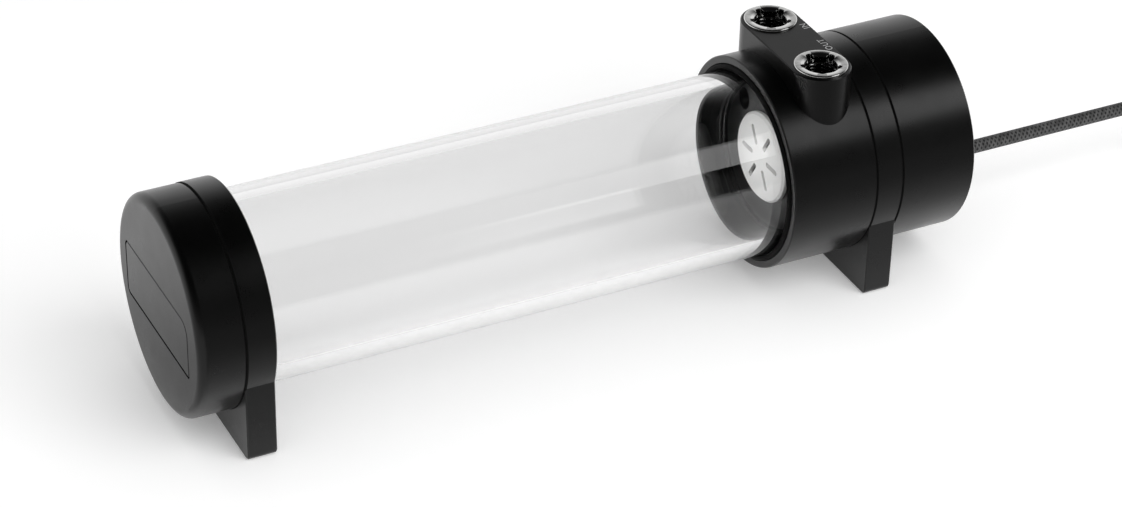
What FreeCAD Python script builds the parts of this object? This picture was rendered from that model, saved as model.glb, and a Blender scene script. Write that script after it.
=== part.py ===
import FreeCAD, Part
import math
import os
import re
import Sketcher

# A horizontal coolant reservoir with a pump in one end. A clear tube joins a screw cap at -X to the pump's
# housing at +X, and two foot rings hold it level. The origin lies on the standing surface, below the middle
# of the tube's axis; +X runs along the tube towards the pump and +Z points up. Lengths are in millimetres.

# Driving dimensions: name, value, what it is
SIZES = [
    ("RingOuter", 75.0, "outer diameter of housing, cover and foot rings"),
    ("RingLift", 5.5, "lowest point of those round pieces above the standing surface"),
    ("EdgeBreak", 0.4, "chamfer on the turned edges"),
    ("TurnGap", 0.3, "clearance between a turned piece and the piece it moves in"),
    ("SnugGap", 0.1, "clearance between fixed round pieces"),
    ("TubeInset", 5.0, "outside of the clear tube, in from the ring's outside"),
    ("TubeWall", 5.0, "wall of the clear tube"),
    ("TubeVisible", 187.0, "tube between the front foot ring and the housing"),
    ("TubeEngage", 8.0, "how far the tube reaches into the cap and into the housing"),
    ("TubeBevel", 0.5, "chamfer on the tube's ends"),
    ("CapInset", 0.2, "outside of the end cap, in from the ring's outside"),
    ("CapLength", 15.7, "length of the end cap outside the foot ring"),
    ("CapRound", 3.0, "rounding of the cap's front edge"),
    ("CapNeckWall", 2.0, "wall of the cap's neck round the tube"),
    ("CapFaceWall", 3.2, "thickness of the cap's face"),
    ("CapLedge", 6.0, "radial width of the tube's seat in the cap"),
    ("CapSealPlace", 3.6, "cap's seal, from the cap's rear edge"),
    ("SealSection", 1.6, "cord thickness of the cap's seal"),
    ("SealRoom", 1.0, "how much wider than its seal a groove is"),
    ("PlateInset", 9.6, "ends of the label plate, in from the cap's outside"),
    ("PlateHeight", 20.2, "label plate, up"),
    ("PlateCornerNear", 5.0, "rounding of the label plate's upper corner at -Y"),
    ("PlateCornerFar", 2.4, "rounding of its two corners at +Y"),
    ("PlateCornerLow", 1.0, "rounding of its lower corner at -Y"),
    ("PlateThick", 0.8, "thickness of the label plate"),
    ("PlateSide", 1.0, "label plate's middle, to the +Y side of the axis"),
    ("PlateDrop", 0.8, "label plate's middle, below the axis"),
    ("PlateGroove", 0.35, "open groove round the label plate"),
    ("FootWidth", 10.2, "foot ring along the tube"),
    ("FootInset", 2.9, "sides of the foot's flat block, in from the ring's outside"),
    ("FootCorner", 2.0, "rounding of the foot block's lower edges"),
    ("FootLip", 1.5, "inward lip of the front foot ring"),
    ("FootHoleInset", 9.6, "tapped holes of a foot, in from the block's sides"),
    ("FootHole", 3.3, "core hole of the M4 thread in the feet"),
    ("FootHoleDepth", 7.0, "depth of the tapped holes in the feet"),
    ("HousingLength", 32.1, "housing, from its front lip to the rear foot ring"),
    ("MouthRoom", 2.5, "radial width of the recess round the tube at the housing's lip"),
    ("MouthDepth", 3.0, "depth of that recess"),
    ("MouthSeal", 2.3, "cord thickness of the ring in that recess"),
    ("PortPlace", 18.66, "port centres, from the housing's lip"),
    ("BossRadius", 10.3, "radius of the port boss's ends"),
    ("BossRise", 5.7, "top of the port boss above the ring's outside"),
    ("InsertOuter", 18.4, "diameter of the threaded inserts"),
    ("InsertProud", 0.7, "how far an insert stands above the boss"),
    ("InsertDepth", 12.0, "how far an insert reaches into the boss"),
    ("InsertBevel", 0.7, "bevel on the insert's top edge"),
    ("InsertHole", 11.445, "core hole of the G1/4 thread"),
    ("NotchRadius", 1.2, "radius of the driving notches in an insert"),
    ("NotchReach", 6.6, "outer reach of the notches from the insert's axis"),
    ("NotchDepth", 1.5, "depth of the notches"),
    ("NotchCount", 5, "notches in one insert"),
    ("NotchTurn", 18.0, "angle of the first notch"),
    ("StrainerOuter", 32.4, "diameter of the slotted inlet disc"),
    ("StrainerProud", 2.0, "how far the disc stands in front of the floor"),
    ("StrainerBevel", 0.8, "bevel of the disc's edge"),
    ("StrainerSkin", 1.6, "thickness of the disc"),
    ("StrainerStub", 2.0, "depth of the disc's collar in the floor"),
    ("StrainerWall", 1.6, "wall of that collar"),
    ("SlotWide", 1.9, "width of the disc's slots"),
    ("SlotFrom", 4.6, "inner end of a slot from the axis"),
    ("SlotLong", 7.4, "length of a slot"),
    ("SlotCount", 6, "slots in the disc"),
    ("SuctionRecess", 29.0, "diameter of the recess behind the disc"),
    ("SuctionHole", 16.0, "hole from the recess to the pump chamber"),
    ("ChamberFront", 13.6, "front wall of the pump chamber, from the lip"),
    ("ChamberDepth", 10.6, "depth of the pump chamber"),
    ("VoluteGap", 1.1, "gap between the impeller's rim and the volute's start"),
    ("VoluteStep", 0.7, "growth of the volute's radius in each quarter"),
    ("OutletRadius", 3.8, "radius of the upright passages under the ports"),
    ("PassageRadius", 3.5, "radius of the slanted inlet passage"),
    ("PassageDrop", 11.0, "height of the inlet passage's bend below the insert"),
    ("PassageInset", 1.8, "mouth of the inlet passage, in from the tube's bore"),
    ("PassageTurn", 43.9, "angle of that mouth above the level"),
    ("FlangeInset", 7.3, "edge of the pump body's flange, in from the ring's outside"),
    ("FlangeThick", 4.0, "thickness of that flange"),
    ("PumpSeal", 2.4, "cord thickness of the seal in front of the flange"),
    ("PumpSealInset", 3.2, "middle of that seal, in from the flange's edge"),
    ("StatorRoom", 15.7, "inside of the pump body's dome, in from the flange's edge"),
    ("DomeWall", 1.2, "wall of the dome"),
    ("BallRadius", 3.0, "radius of the bearing ball"),
    ("PostRadius", 1.5, "radius of the bearing post"),
    ("CupOuter", 10.0, "diameter of the bearing cup"),
    ("CupWall", 1.2, "end wall of the bearing cup"),
    ("ImpellerInset", 12.7, "impeller's rim, in from the flange's edge"),
    ("ImpellerGap", 0.6, "gap between the impeller and the flange"),
    ("ShroudThick", 1.4, "thickness of the impeller's discs"),
    ("VaneHeight", 4.6, "height of the blades between the discs"),
    ("VaneThick", 1.2, "thickness of a blade"),
    ("VaneArc", 12.0, "radius of a blade's leading face"),
    ("VaneSweep", 55.0, "angle that a blade trails from eye to rim"),
    ("VaneLeanIn", 43.0, "slope of a blade's inner end"),
    ("VaneLeanOut", 30.0, "slope of a blade's outer end"),
    ("VaneCount", 6, "blades in the impeller"),
    ("EyeRadius", 7.6, "inlet opening in the impeller's front disc"),
    ("EyeCollar", 1.2, "wall and height of the collar round that opening"),
    ("HubWall", 1.0, "wall of the rotor's sleeve"),
    ("MagnetGap", 0.6, "gap between the magnet and the dome"),
    ("MagnetTail", 2.75, "radial width of the magnet at its rear end"),
    ("CoreRing", 6.0, "radial width of the stator's outer ring"),
    ("CoreTail", 0.5, "how far the windings end before the dome's tip"),
    ("CoreGap", 0.5, "gap between the stator core and the pump body"),
    ("CoreSideGap", 0.4, "gap between the stator core and the motor's can"),
    ("ToothCount", 6, "teeth of the stator"),
    ("ToothWide", 7.0, "width of a tooth"),
    ("CoilBuild", 1.6, "thickness of the winding on a tooth"),
    ("CoilFront", 0.3, "thickness of the winding on a tooth's front"),
    ("CoilRoom", 0.55, "winding's inner end, out from the tooth's"),
    ("BoardGap", 1.9, "gap between the dome and the circuit board"),
    ("BoardThick", 1.6, "thickness of the circuit board"),
    ("ChipSide", 9.0, "side of the chip on the board"),
    ("ChipThick", 1.4, "thickness of that chip"),
    ("CanWall", 0.8, "wall of the motor's can"),
    ("CanRoom", 1.6, "room between the chip and the can's rear wall"),
    ("CoverLength", 28.6, "pump cover, from the rear foot ring to its rear face"),
    ("CoverBack", 4.0, "thickness of the cover's rear wall"),
    ("SleeveWall", 1.7, "wall of the cover's sleeve inside the foot ring"),
    ("ScrewInset", 4.3, "cover screws, in from the ring's outside"),
    ("ScrewCount", 4, "cover screws"),
    ("ScrewTurn", 45.0, "angle of the first cover screw"),
    ("ScrewShank", 3.0, "thread diameter of the cover screws"),
    ("ScrewHead", 5.5, "head diameter of the cover screws"),
    ("ScrewHeadHigh", 3.0, "head height of the cover screws"),
    ("ScrewSocket", 2.5, "width across flats of the screws' sockets"),
    ("ScrewSocketDeep", 1.4, "depth of the screws' sockets"),
    ("ScrewReach", 7.5, "how far the cover screws reach into the housing"),
    ("ScrewClear", 0.2, "clearance round the screws in cover and foot ring"),
    ("ThreadClear", 0.05, "clearance drawn round the screws' threads in the housing"),
    ("HeadClear", 0.25, "clearance round the screw heads"),
    ("TipRoom", 0.5, "depth of a tapped hole beyond its screw"),
    ("HeadSink", 0.4, "how deep the screw heads lie below the rear face"),
    ("CableOuter", 5.0, "diameter of the cable"),
    ("CableDrop", 18.0, "cable below the tube's axis"),
    ("ReliefLength", 14.0, "strain relief behind the cover"),
    ("ReliefRoot", 9.0, "diameter of the strain relief at the cover"),
    ("ReliefTip", 6.4, "diameter of the strain relief at its tip"),
    ("ReliefNeck", 7.4, "diameter of the strain relief in the cover's wall"),
    ("ReliefFlange", 1.4, "thickness of the strain relief's inner flange"),
    ("PlugWide", 10.6, "connector, across"),
    ("PlugHigh", 6.2, "connector, up"),
    ("PlugLong", 12.0, "connector, along the cable"),
    ("ContactCount", 4, "contacts in the connector"),
    ("ContactPitch", 2.54, "distance between two contacts"),
    ("ContactRoom", 1.6, "side of a contact's square hole"),
    ("ContactRoomDeep", 8.0, "depth of that hole"),
    ("ContactSide", 1.4, "outer side of a contact's square tube"),
    ("ContactBore", 0.8, "inner side of that tube"),
    ("ContactLong", 7.0, "length of a contact"),
]

# Diameters, places along the tube and other values that follow from the sizes
PLACES = [
    ("AxisHeight", "RingOuter / 2 + RingLift"),
    ("TubeOuter", "RingOuter - 2 * TubeInset"),
    ("CapOuter", "RingOuter - 2 * CapInset"),
    ("CapPocket", "TubeOuter - 2 * CapLedge"),
    ("PlateWidth", "CapOuter - 2 * PlateInset"),
    ("FootBlock", "RingOuter - 2 * FootInset"),
    ("FootHoleSpan", "FootBlock - 2 * FootHoleInset"),
    ("MouthOuter", "TubeOuter + 2 * MouthRoom"),
    ("FlangeOuter", "RingOuter - 2 * FlangeInset"),
    ("ScrewCircle", "RingOuter - 2 * ScrewInset"),
    ("PumpSealPlace", "FlangeOuter - 2 * PumpSealInset"),
    ("DomeInner", "FlangeOuter / 2 - StatorRoom"),
    ("ImpellerOuter", "FlangeOuter - 2 * ImpellerInset"),
    ("VoluteStart", "ImpellerOuter / 2 + VoluteGap"),
    ("PortSpan", "2 * (VoluteStart + 3.5 * VoluteStep - OutletRadius)"),
    ("BossTop", "RingOuter / 2 + BossRise"),
    ("Total", "CapLength + TubeVisible + HousingLength + CoverLength + 2 * FootWidth"),
    ("CapFace", "-Total / 2"),
    ("FrontFoot", "CapFace + CapLength"),
    ("TubeShown", "FrontFoot + FootWidth"),
    ("Housing", "TubeShown + TubeVisible"),
    ("RearFoot", "Housing + HousingLength"),
    ("Cover", "RearFoot + FootWidth"),
    ("RearFace", "Cover + CoverLength"),
    ("Seat", "ChamberFront + ChamberDepth"),
    ("PumpSeat", "Housing + Seat"),
    ("SocketRadius", "TubeOuter / 2 + TurnGap"),
    ("NeckRadius", "SocketRadius + CapNeckWall"),
    ("FloorPlace", "TubeEngage + TurnGap"),
    ("CapSealRadius", "TubeOuter / 2 + TurnGap + SealSection / 2"),
    ("CanBore", "FlangeOuter / 2 + TurnGap"),
    ("SleeveOuter", "FlangeOuter / 2 + SnugGap"),
    ("SleeveInner", "SleeveOuter - SleeveWall"),
    ("CanOuter", "SleeveInner - TurnGap"),
    ("CoreOuter", "2 * (CanOuter - CanWall - CoreSideGap)"),
    ("MagnetRadius", "DomeInner - MagnetGap"),
    ("HubRadius", "CupOuter / 2 + HubWall"),
    ("HubTail", "sqrt(MagnetRadius ^ 2 - (HubRadius + MagnetTail) ^ 2)"),
    ("CoreLength", "DomeInner + DomeWall - CoreTail - CoilBuild - SnugGap - CoreGap - FlangeThick"),
    ("BoardPlace", "DomeInner + DomeWall + BoardGap"),
    ("CanLength", "BoardPlace + BoardThick + ChipThick + CanRoom + CanWall - FlangeThick"),
    ("PortRise", "BossTop + InsertProud"),
    ("InsertFloor", "BossTop - InsertDepth"),
    ("PassageBend", "InsertFloor - PassageDrop"),
    ("PassageReach", "TubeOuter / 2 - TubeWall - PassageRadius - PassageInset"),
    ("BackDisc", "-ImpellerGap - ShroudThick"),
    ("FrontDisc", "BackDisc - VaneHeight"),
]

doc = FreeCAD.newDocument("pump_reservoir")

# Sheet that holds each name, filled in as the sheets are
OWNER = {}


def bound(text):
    """An expression in full: each name of a size or place gets the name of its sheet."""
    return re.sub(r"[A-Za-z]\w*", lambda word: OWNER.get(word[0], "") + word[0], text)


def fill_sheet(name, rows):
    """A sheet with one aliased value a row; a value that is an expression may use the names before it."""
    sheet = doc.addObject("Spreadsheet::Sheet", name)
    for line, (alias, value, *note) in enumerate(rows, start=1):
        sheet.set(f"A{line}", alias)
        sheet.set(f"B{line}", "=" + bound(value) if isinstance(value, str) else str(value))
        sheet.setAlias(f"B{line}", alias)
        sheet.set(f"C{line}", " ".join(note))
        OWNER[alias] = name + "."
    doc.recompute()
    return sheet


sizes = fill_sheet("Sizes", SIZES)
places = fill_sheet("Places", PLACES)


def number(text):
    """What an expression comes to now."""
    value = sizes.evalExpression(bound(text))
    return float(value.Value if hasattr(value, "Value") else value)


def new_body(label, x="0", y="0", z="AxisHeight", heading="0"):
    """An empty body with its place in the whole, on the tube's axis and along it unless told otherwise."""
    body = doc.addObject("PartDesign::Body", label)
    body.Label = label
    body.AllowCompound = True
    for axis, place in zip("xyz", (x, y, z)):
        body.setExpression(f"Placement.Base.{axis}", bound(place))
    body.setExpression("Placement.Rotation.Angle", bound(heading))
    return body


def origin_of(body, role):
    """One of the body's own base planes or axes."""
    return next(item for item in body.Origin.OriginFeatures if item.Role == role)


def new_sketch(body, name, plane, offset="0"):
    """An empty sketch on one of the body's base planes, moved out along that plane's normal."""
    sketch = body.newObject("Sketcher::SketchObject", name)
    sketch.AttachmentSupport = (origin_of(body, plane), [""])
    sketch.MapMode = "FlatFace"
    sketch.setExpression("AttachmentOffset.Base.z", bound(offset))
    return sketch


def pin_down(sketch, item, point, x, y):
    """Ties one point of a sketch to its two expressions."""
    for kind, text, axis in (("DistanceX", x, -2), ("DistanceY", y, -1)):
        if text == "0":
            sketch.addConstraint(Sketcher.Constraint("PointOnObject", item, point, axis))
        else:
            rule = Sketcher.Constraint(kind, -1, 1, item, point, number(text))
            sketch.setExpression(f"Constraints[{sketch.addConstraint(rule)}]", bound(text))


def arc_between(start, end, radius, turn):
    """The shorter arc from start to end, anticlockwise for a turn of 1 and clockwise for -1."""
    chord = end.sub(start)
    rise = math.sqrt(max(radius ** 2 - chord.Length ** 2 / 4, 0)) * turn
    side = FreeCAD.Vector(-chord.y, chord.x, 0).normalize()
    middle = start.add(end).multiply(0.5).add(side.multiply(rise))
    angles = [math.atan2(p.y - middle.y, p.x - middle.x) for p in (start, end)][::turn]
    return Part.ArcOfCircle(Part.Circle(middle, FreeCAD.Vector(0, 0, 1), radius), *angles)


def outline(sketch, corners):
    """A closed outline. A corner is (x, y), or (x, y, radius, turn) where an arc leads to the next corner."""
    spots = [FreeCAD.Vector(number(corner[0]), number(corner[1]), 0) for corner in corners]
    ends = []
    for index, corner in enumerate(corners):
        start, end = spots[index], spots[(index + 1) % len(spots)]
        if len(corner) == 2:
            item = sketch.addGeometry(Part.LineSegment(start, end))
            ends.append((item, 1, 2))
        else:
            turn = corner[3]
            item = sketch.addGeometry(arc_between(start, end, number(corner[2]), turn))
            ends.append((item, 1, 2) if turn == 1 else (item, 2, 1))
    for index, (item, first, last) in enumerate(ends):
        follower = ends[(index + 1) % len(ends)]
        sketch.addConstraint(Sketcher.Constraint("Coincident", item, last, follower[0], follower[1]))
    for (item, first, last), corner in zip(ends, corners):
        pin_down(sketch, item, first, corner[0], corner[1])
        if len(corner) > 2:
            rule = Sketcher.Constraint("Radius", item, number(corner[2]))
            sketch.setExpression(f"Constraints[{sketch.addConstraint(rule)}]", bound(corner[2]))


def circle(sketch, x, y, radius):
    """A full circle."""
    place = FreeCAD.Vector(number(x), number(y), 0)
    item = sketch.addGeometry(Part.Circle(place, FreeCAD.Vector(0, 0, 1), number(radius)))
    pin_down(sketch, item, 3, x, y)
    rule = Sketcher.Constraint("Radius", item, number(radius))
    sketch.setExpression(f"Constraints[{sketch.addConstraint(rule)}]", bound(radius))


def box_corners(x_low, x_high, y_low, y_high):
    """The four corners of an upright rectangle."""
    return [(x_low, y_low), (x_high, y_low), (x_high, y_high), (x_low, y_high)]


def turned(body, name, corners, cut=False, upright=False):
    """Turns a profile round the tube's axis, or round the upright axis, as added or removed material."""
    sketch = new_sketch(body, name + "_profile", "XZ_Plane")
    if len(corners) == 1:
        circle(sketch, *corners[0])
    else:
        outline(sketch, corners)
    feature = body.newObject("PartDesign::Groove" if cut else "PartDesign::Revolution", name)
    feature.Profile = sketch
    feature.ReferenceAxis = (sketch, ["V_Axis" if upright else "H_Axis"])
    feature.Angle = 360
    return feature


def extruded(body, name, plane, draw, length, start="0", cut=False):
    """Pads or pockets what draw puts on a sketch, over a length from start along the plane's normal."""
    sketch = new_sketch(body, name + "_outline", plane, start)
    draw(sketch)
    before = body.Tip.Shape.Volume if cut else 0
    feature = body.newObject("PartDesign::Pocket" if cut else "PartDesign::Pad", name)
    feature.Profile = sketch
    feature.setExpression("Length", bound(length))
    feature.Reversed = cut
    doc.recompute()
    if cut and feature.Shape.Volume > before - 0.01:
        raise RuntimeError(f"{name} cuts nothing")
    return feature


def repeated(body, name, feature, count, axis="X_Axis"):
    """Copies a feature evenly round an axis."""
    pattern = body.newObject("PartDesign::PolarPattern", name)
    pattern.Originals = [feature]
    pattern.Axis = (origin_of(body, axis), [""])
    pattern.Angle = 360
    pattern.setExpression("Occurrences", bound(count))
    body.Tip = pattern
    doc.recompute()
    return pattern


def edges_where(shape, test):
    """Names of the edges for which test is true."""
    return [f"Edge{index}" for index, edge in enumerate(shape.Edges, start=1) if test(edge)]


def dressed(body, kind, name, size, test):
    """A fillet or chamfer on the edges of the body's tip for which test is true."""
    doc.recompute()
    tip = body.Tip
    feature = body.newObject("PartDesign::" + kind, name)
    feature.Base = (tip, edges_where(tip.Shape, test))
    feature.setExpression("Radius" if kind == "Fillet" else "Size", bound(size))
    return feature


def lies_at_x(edge, *stations):
    """Whether a whole edge lies in one of the planes across the tube."""
    return any(abs(edge.BoundBox.XMin - x) < 0.01 and abs(edge.BoundBox.XMax - x) < 0.01 for x in stations)


# End cap, its label plate and its seal. The cap's neck reaches through the front foot ring.

def end_cap():
    """Cup-shaped screw cap whose neck holds the tube."""
    rim = "CapOuter / 2"
    neck_end = "CapLength + FootWidth - FootLip - TurnGap"
    seal_low = "CapLength - CapSealPlace - (SealSection + SealRoom) / 2"
    seal_high = "CapLength - CapSealPlace + (SealSection + SealRoom) / 2"
    seal_floor = "SocketRadius + SealSection + TurnGap"
    floor = "CapLength - FloorPlace"
    body = new_body("end_cap", "CapFace")
    turned(body, "cap_form", [
        ("0", "0"), ("0", rim + " - CapRound", "CapRound", -1), ("CapRound", rim),
        ("CapLength - EdgeBreak", rim), ("CapLength", rim + " - EdgeBreak"),
        ("CapLength", "NeckRadius"), (neck_end, "NeckRadius"), (neck_end, "SocketRadius"),
        (seal_high, "SocketRadius"), (seal_high, seal_floor), (seal_low, seal_floor),
        (seal_low, "SocketRadius"), (floor, "SocketRadius"), (floor, "CapPocket / 2"),
        ("CapFaceWall", "CapPocket / 2"), ("CapFaceWall", "0")])
    doc.recompute()
    extruded(body, "plate_recess", "YZ_Plane", lambda sketch: plate_outline(sketch, "PlateGroove"),
             "PlateThick", cut=True)


def plate_outline(sketch, extra):
    """Rectangle with round corners round the label plate's middle, grown by extra on every side."""
    left = f"PlateSide - PlateWidth / 2 - {extra}"
    right = f"PlateSide + PlateWidth / 2 + {extra}"
    low = f"0 - PlateDrop - PlateHeight / 2 - {extra}"
    high = f"PlateHeight / 2 - PlateDrop + {extra}"
    near, far, lowest = (f"(PlateCorner{place} + {extra})" for place in ("Near", "Far", "Low"))
    outline(sketch, [
        (f"{left} + {lowest}", low), (f"{right} - {far}", low, far, 1),
        (right, f"{low} + {far}"), (right, f"{high} - {far}", far, 1),
        (f"{right} - {far}", high), (f"{left} + {near}", high, near, 1),
        (left, f"{high} - {near}"), (left, f"{low} + {lowest}", lowest, 1)])


def label_plate():
    """Plain plate let into the cap's face."""
    body = new_body("label_plate", "CapFace")
    extruded(body, "plate", "YZ_Plane", lambda sketch: plate_outline(sketch, "0"), "PlateThick")


def ring_seal(label, x, place, radius, section):
    """Round cord ring about the tube's axis."""
    body = new_body(label, x)
    turned(body, label + "_ring", [(place, radius, f"{section} / 2")])


# Clear tube

def reservoir_tube():
    """Tube with bevelled ends, from inside the cap to inside the housing."""
    body = new_body("reservoir_tube", "TubeShown")
    start = "0 - FootWidth - TubeEngage"
    end = "TubeVisible + TubeEngage"
    outer = "TubeOuter / 2"
    inner = "TubeOuter / 2 - TubeWall"
    turned(body, "tube", [
        (start, inner + " + TubeBevel"), (start, outer + " - TubeBevel"), (start + " + TubeBevel", outer),
        (end + " - TubeBevel", outer), (end, outer + " - TubeBevel"), (end, inner + " + TubeBevel"),
        (end + " - TubeBevel", inner), (start + " + TubeBevel", inner)])


# Foot rings

def foot_outline(sketch):
    """Round ring above, straight sides from where the block's width meets the ring, flat below."""
    ring = "RingOuter / 2"
    side = "FootBlock / 2"
    kink = "0 - sqrt((RingOuter / 2) ^ 2 - (FootBlock / 2) ^ 2)"
    outline(sketch, [
        ("0", ring, ring, -1), (side, kink), (side, "FootCorner - AxisHeight", "FootCorner", -1),
        (side + " - FootCorner", "0 - AxisHeight"),
        ("FootCorner - " + side, "0 - AxisHeight", "FootCorner", -1),
        ("0 - " + side, "FootCorner - AxisHeight"), ("0 - " + side, kink, ring, -1)])


def foot_ring(label, x, bore):
    """Foot ring with two tapped holes in its underside; bore is the radius of its opening."""
    body = new_body(label, x)
    extruded(body, label + "_block", "YZ_Plane", foot_outline, "FootWidth")
    dressed(body, "Chamfer", label + "_edges", "EdgeBreak",
            lambda edge: lies_at_x(edge, 0, number("FootWidth")))
    doc.recompute()
    extruded(body, label + "_bore", "YZ_Plane", lambda sketch: circle(sketch, "0", "0", bore),
             "FootWidth", cut=True)
    holes = new_sketch(body, label + "_hole_places", "XY_Plane", "0 - AxisHeight")
    for side in ("FootHoleSpan / 2", "0 - FootHoleSpan / 2"):
        circle(holes, "FootWidth / 2", side, "FootHole / 2")
    tapped = body.newObject("PartDesign::Hole", label + "_holes")
    tapped.Profile = holes
    doc.recompute()
    tapped.setExpression("Diameter", bound("FootHole"))
    tapped.DepthType = "Dimension"
    tapped.setExpression("Depth", bound("FootHoleDepth"))
    tapped.DrillPoint = "Flat"
    tapped.Reversed = True
    return body


def front_foot_ring():
    """The lip at its rear bears on the cap's neck and clears the tube."""
    body = foot_ring("front_foot_ring", "FrontFoot", "SocketRadius")
    doc.recompute()
    extruded(body, "neck_room", "YZ_Plane", lambda sketch: circle(sketch, "0", "0", "NeckRadius + TurnGap"),
             "FootWidth - FootLip", cut=True)


def rear_foot_ring():
    """Clamped between the housing and the cover; the cover screws pass through it."""
    body = foot_ring("rear_foot_ring", "RearFoot", "CanBore")
    doc.recompute()
    screw_holes(body, "ring_screw", "ScrewShank / 2 + ScrewClear", "0", "FootWidth")


def screw_holes(body, name, radius, start, length):
    """Holes on the circle of cover screws, over a length from start."""
    side = "ScrewCircle / 2 * cos(ScrewTurn)"
    up = "ScrewCircle / 2 * sin(ScrewTurn)"
    hole = extruded(body, name + "_hole", "YZ_Plane", lambda sketch: circle(sketch, side, up, radius),
                    length, start, cut=True)
    repeated(body, name + "_circle", hole, "ScrewCount")


# Housing with the port boss, the tube's socket, the volute and its passages

def stadium(sketch):
    """Top view of the port boss, with its round ends in quarters."""
    side, end, middle = "PortSpan / 2", "BossRadius", "PortPlace"
    outline(sketch, [
        (f"{middle} - {end}", f"0 - {side}", end, 1), (middle, f"0 - {side} - {end}", end, 1),
        (f"{middle} + {end}", f"0 - {side}"), (f"{middle} + {end}", side, end, 1),
        (middle, f"{side} + {end}", end, 1), (f"{middle} - {end}", side)])


def volute(sketch):
    """Four quarter arcs whose radius grows by one step each, closed by the tongue at the outlet's side."""
    first, step = "VoluteStart", "VoluteStep"
    radii = [first] + [f"({first} + {quarter} * {step})" for quarter in (1, 2, 3)]
    outline(sketch, [
        (f"{step} / 2 - {radii[0]}", "0", radii[0], -1), (f"{step} / 2", radii[0], radii[1], -1),
        (f"{step} / 2 + {radii[1]}", f"0 - {step}", radii[2], -1),
        (f"0 - {step} / 2", f"0 - {step} - {radii[2]}", radii[3], -1), (f"0 - {step} / 2 - {radii[3]}", "0")])


def pump_top():
    """The housing: outer form first, then what is cut from the front, the rear and the top."""
    rim = "RingOuter / 2"
    body = new_body("pump_top", "Housing")
    turned(body, "housing_form", [
        ("0", "0"), ("0", rim + " - EdgeBreak"), ("EdgeBreak", rim), ("HousingLength - EdgeBreak", rim),
        ("HousingLength", rim + " - EdgeBreak"), ("HousingLength", "0")])
    extruded(body, "port_boss", "XY_Plane", stadium, "BossTop")
    dressed(body, "Chamfer", "boss_edge", "EdgeBreak",
            lambda edge: abs(edge.BoundBox.ZMin - number("BossTop")) < 0.01)
    stub_floor = "FloorPlace + StrainerStub + SnugGap"
    turned(body, "tube_socket", [
        ("0", "0"), ("0", "MouthOuter / 2"), ("MouthDepth", "MouthOuter / 2"), ("MouthDepth", "SocketRadius"),
        ("FloorPlace", "SocketRadius"), ("FloorPlace", "SuctionRecess / 2"),
        (stub_floor, "SuctionRecess / 2"), (stub_floor, "0")], cut=True)
    seal_in = "PumpSealPlace / 2 - (PumpSeal + SealRoom) / 2"
    seal_out = "PumpSealPlace / 2 + (PumpSeal + SealRoom) / 2"
    seal_floor = "Seat - PumpSeal"
    turned(body, "pump_bore", [
        ("HousingLength", "0"), ("HousingLength", "CanBore"), ("Seat", "CanBore"), ("Seat", seal_out),
        (seal_floor, seal_out), (seal_floor, seal_in), ("Seat", seal_in), ("Seat", "0")], cut=True)
    doc.recompute()
    extruded(body, "pump_chamber", "YZ_Plane", volute, "ChamberDepth", "ChamberFront", cut=True)
    extruded(body, "suction_hole", "YZ_Plane", lambda sketch: circle(sketch, "0", "0", "SuctionHole / 2"),
             "ChamberFront - FloorPlace", "FloorPlace", cut=True)
    for side, sign in (("inlet", ""), ("outlet", "0 - ")):
        across = f"{sign}PortSpan / 2"
        extruded(body, side + "_seat", "XY_Plane",
                 lambda sketch: circle(sketch, "PortPlace", across, "InsertOuter / 2 + SnugGap"),
                 "InsertDepth", "InsertFloor", cut=True)
        bottom = "0" if side == "outlet" else "PassageBend"
        extruded(body, side + "_passage", "XY_Plane",
                 lambda sketch: circle(sketch, "PortPlace", across, "OutletRadius"),
                 f"InsertFloor - {bottom}", bottom, cut=True)
    slanted_passage(body)
    screw_deep = "ScrewReach + TipRoom"
    screw_holes(body, "housing_screw", "ScrewShank / 2 + ThreadClear", f"HousingLength - ({screw_deep})",
                screw_deep)


def slanted_passage(body):
    """Drilled from the floor inside the tube up to the bend under the inlet port."""
    mouth = FreeCAD.Vector(number("FloorPlace"), number("PassageReach * cos(PassageTurn)"),
                           number("PassageReach * sin(PassageTurn)"))
    bend = FreeCAD.Vector(number("PortPlace"), number("PortSpan / 2"), number("PassageBend + PassageRadius"))
    run = bend.sub(mouth)
    drill = body.newObject("PartDesign::SubtractiveCylinder", "slanted_passage")
    drill.setExpression("Radius", bound("PassageRadius"))
    lead = FreeCAD.Vector(run).normalize().multiply(number("PassageRadius"))
    drill.Height = run.Length + number("PassageRadius")
    drill.Placement = FreeCAD.Placement(mouth.sub(lead), FreeCAD.Rotation(FreeCAD.Vector(0, 0, 1), run))
    doc.recompute()


def port_insert(label, side):
    """Threaded insert with a bevelled rim and driving notches round its mouth."""
    body = new_body(label, "Housing + PortPlace", f"{side}PortSpan / 2", "AxisHeight + PortRise")
    outer, hole = "InsertOuter / 2", "InsertHole / 2"
    length = "0 - InsertDepth - InsertProud"
    turned(body, label + "_form", [
        (hole, length), (outer + " - EdgeBreak", length), (outer, length + " + EdgeBreak"),
        (outer, "0 - InsertBevel"), (outer + " - InsertBevel", "0"), (hole + " + EdgeBreak", "0"),
        (hole, "0 - EdgeBreak")], upright=True)
    doc.recompute()
    centre = "(NotchReach - NotchRadius)"
    notch = extruded(body, label + "_notch", "XY_Plane",
                     lambda sketch: circle(sketch, f"{centre} * cos(NotchTurn)", f"{centre} * sin(NotchTurn)",
                                           "NotchRadius"),
                     "NotchDepth", "0 - NotchDepth", cut=True)
    repeated(body, label + "_notches", notch, "NotchCount", "Z_Axis")


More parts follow.
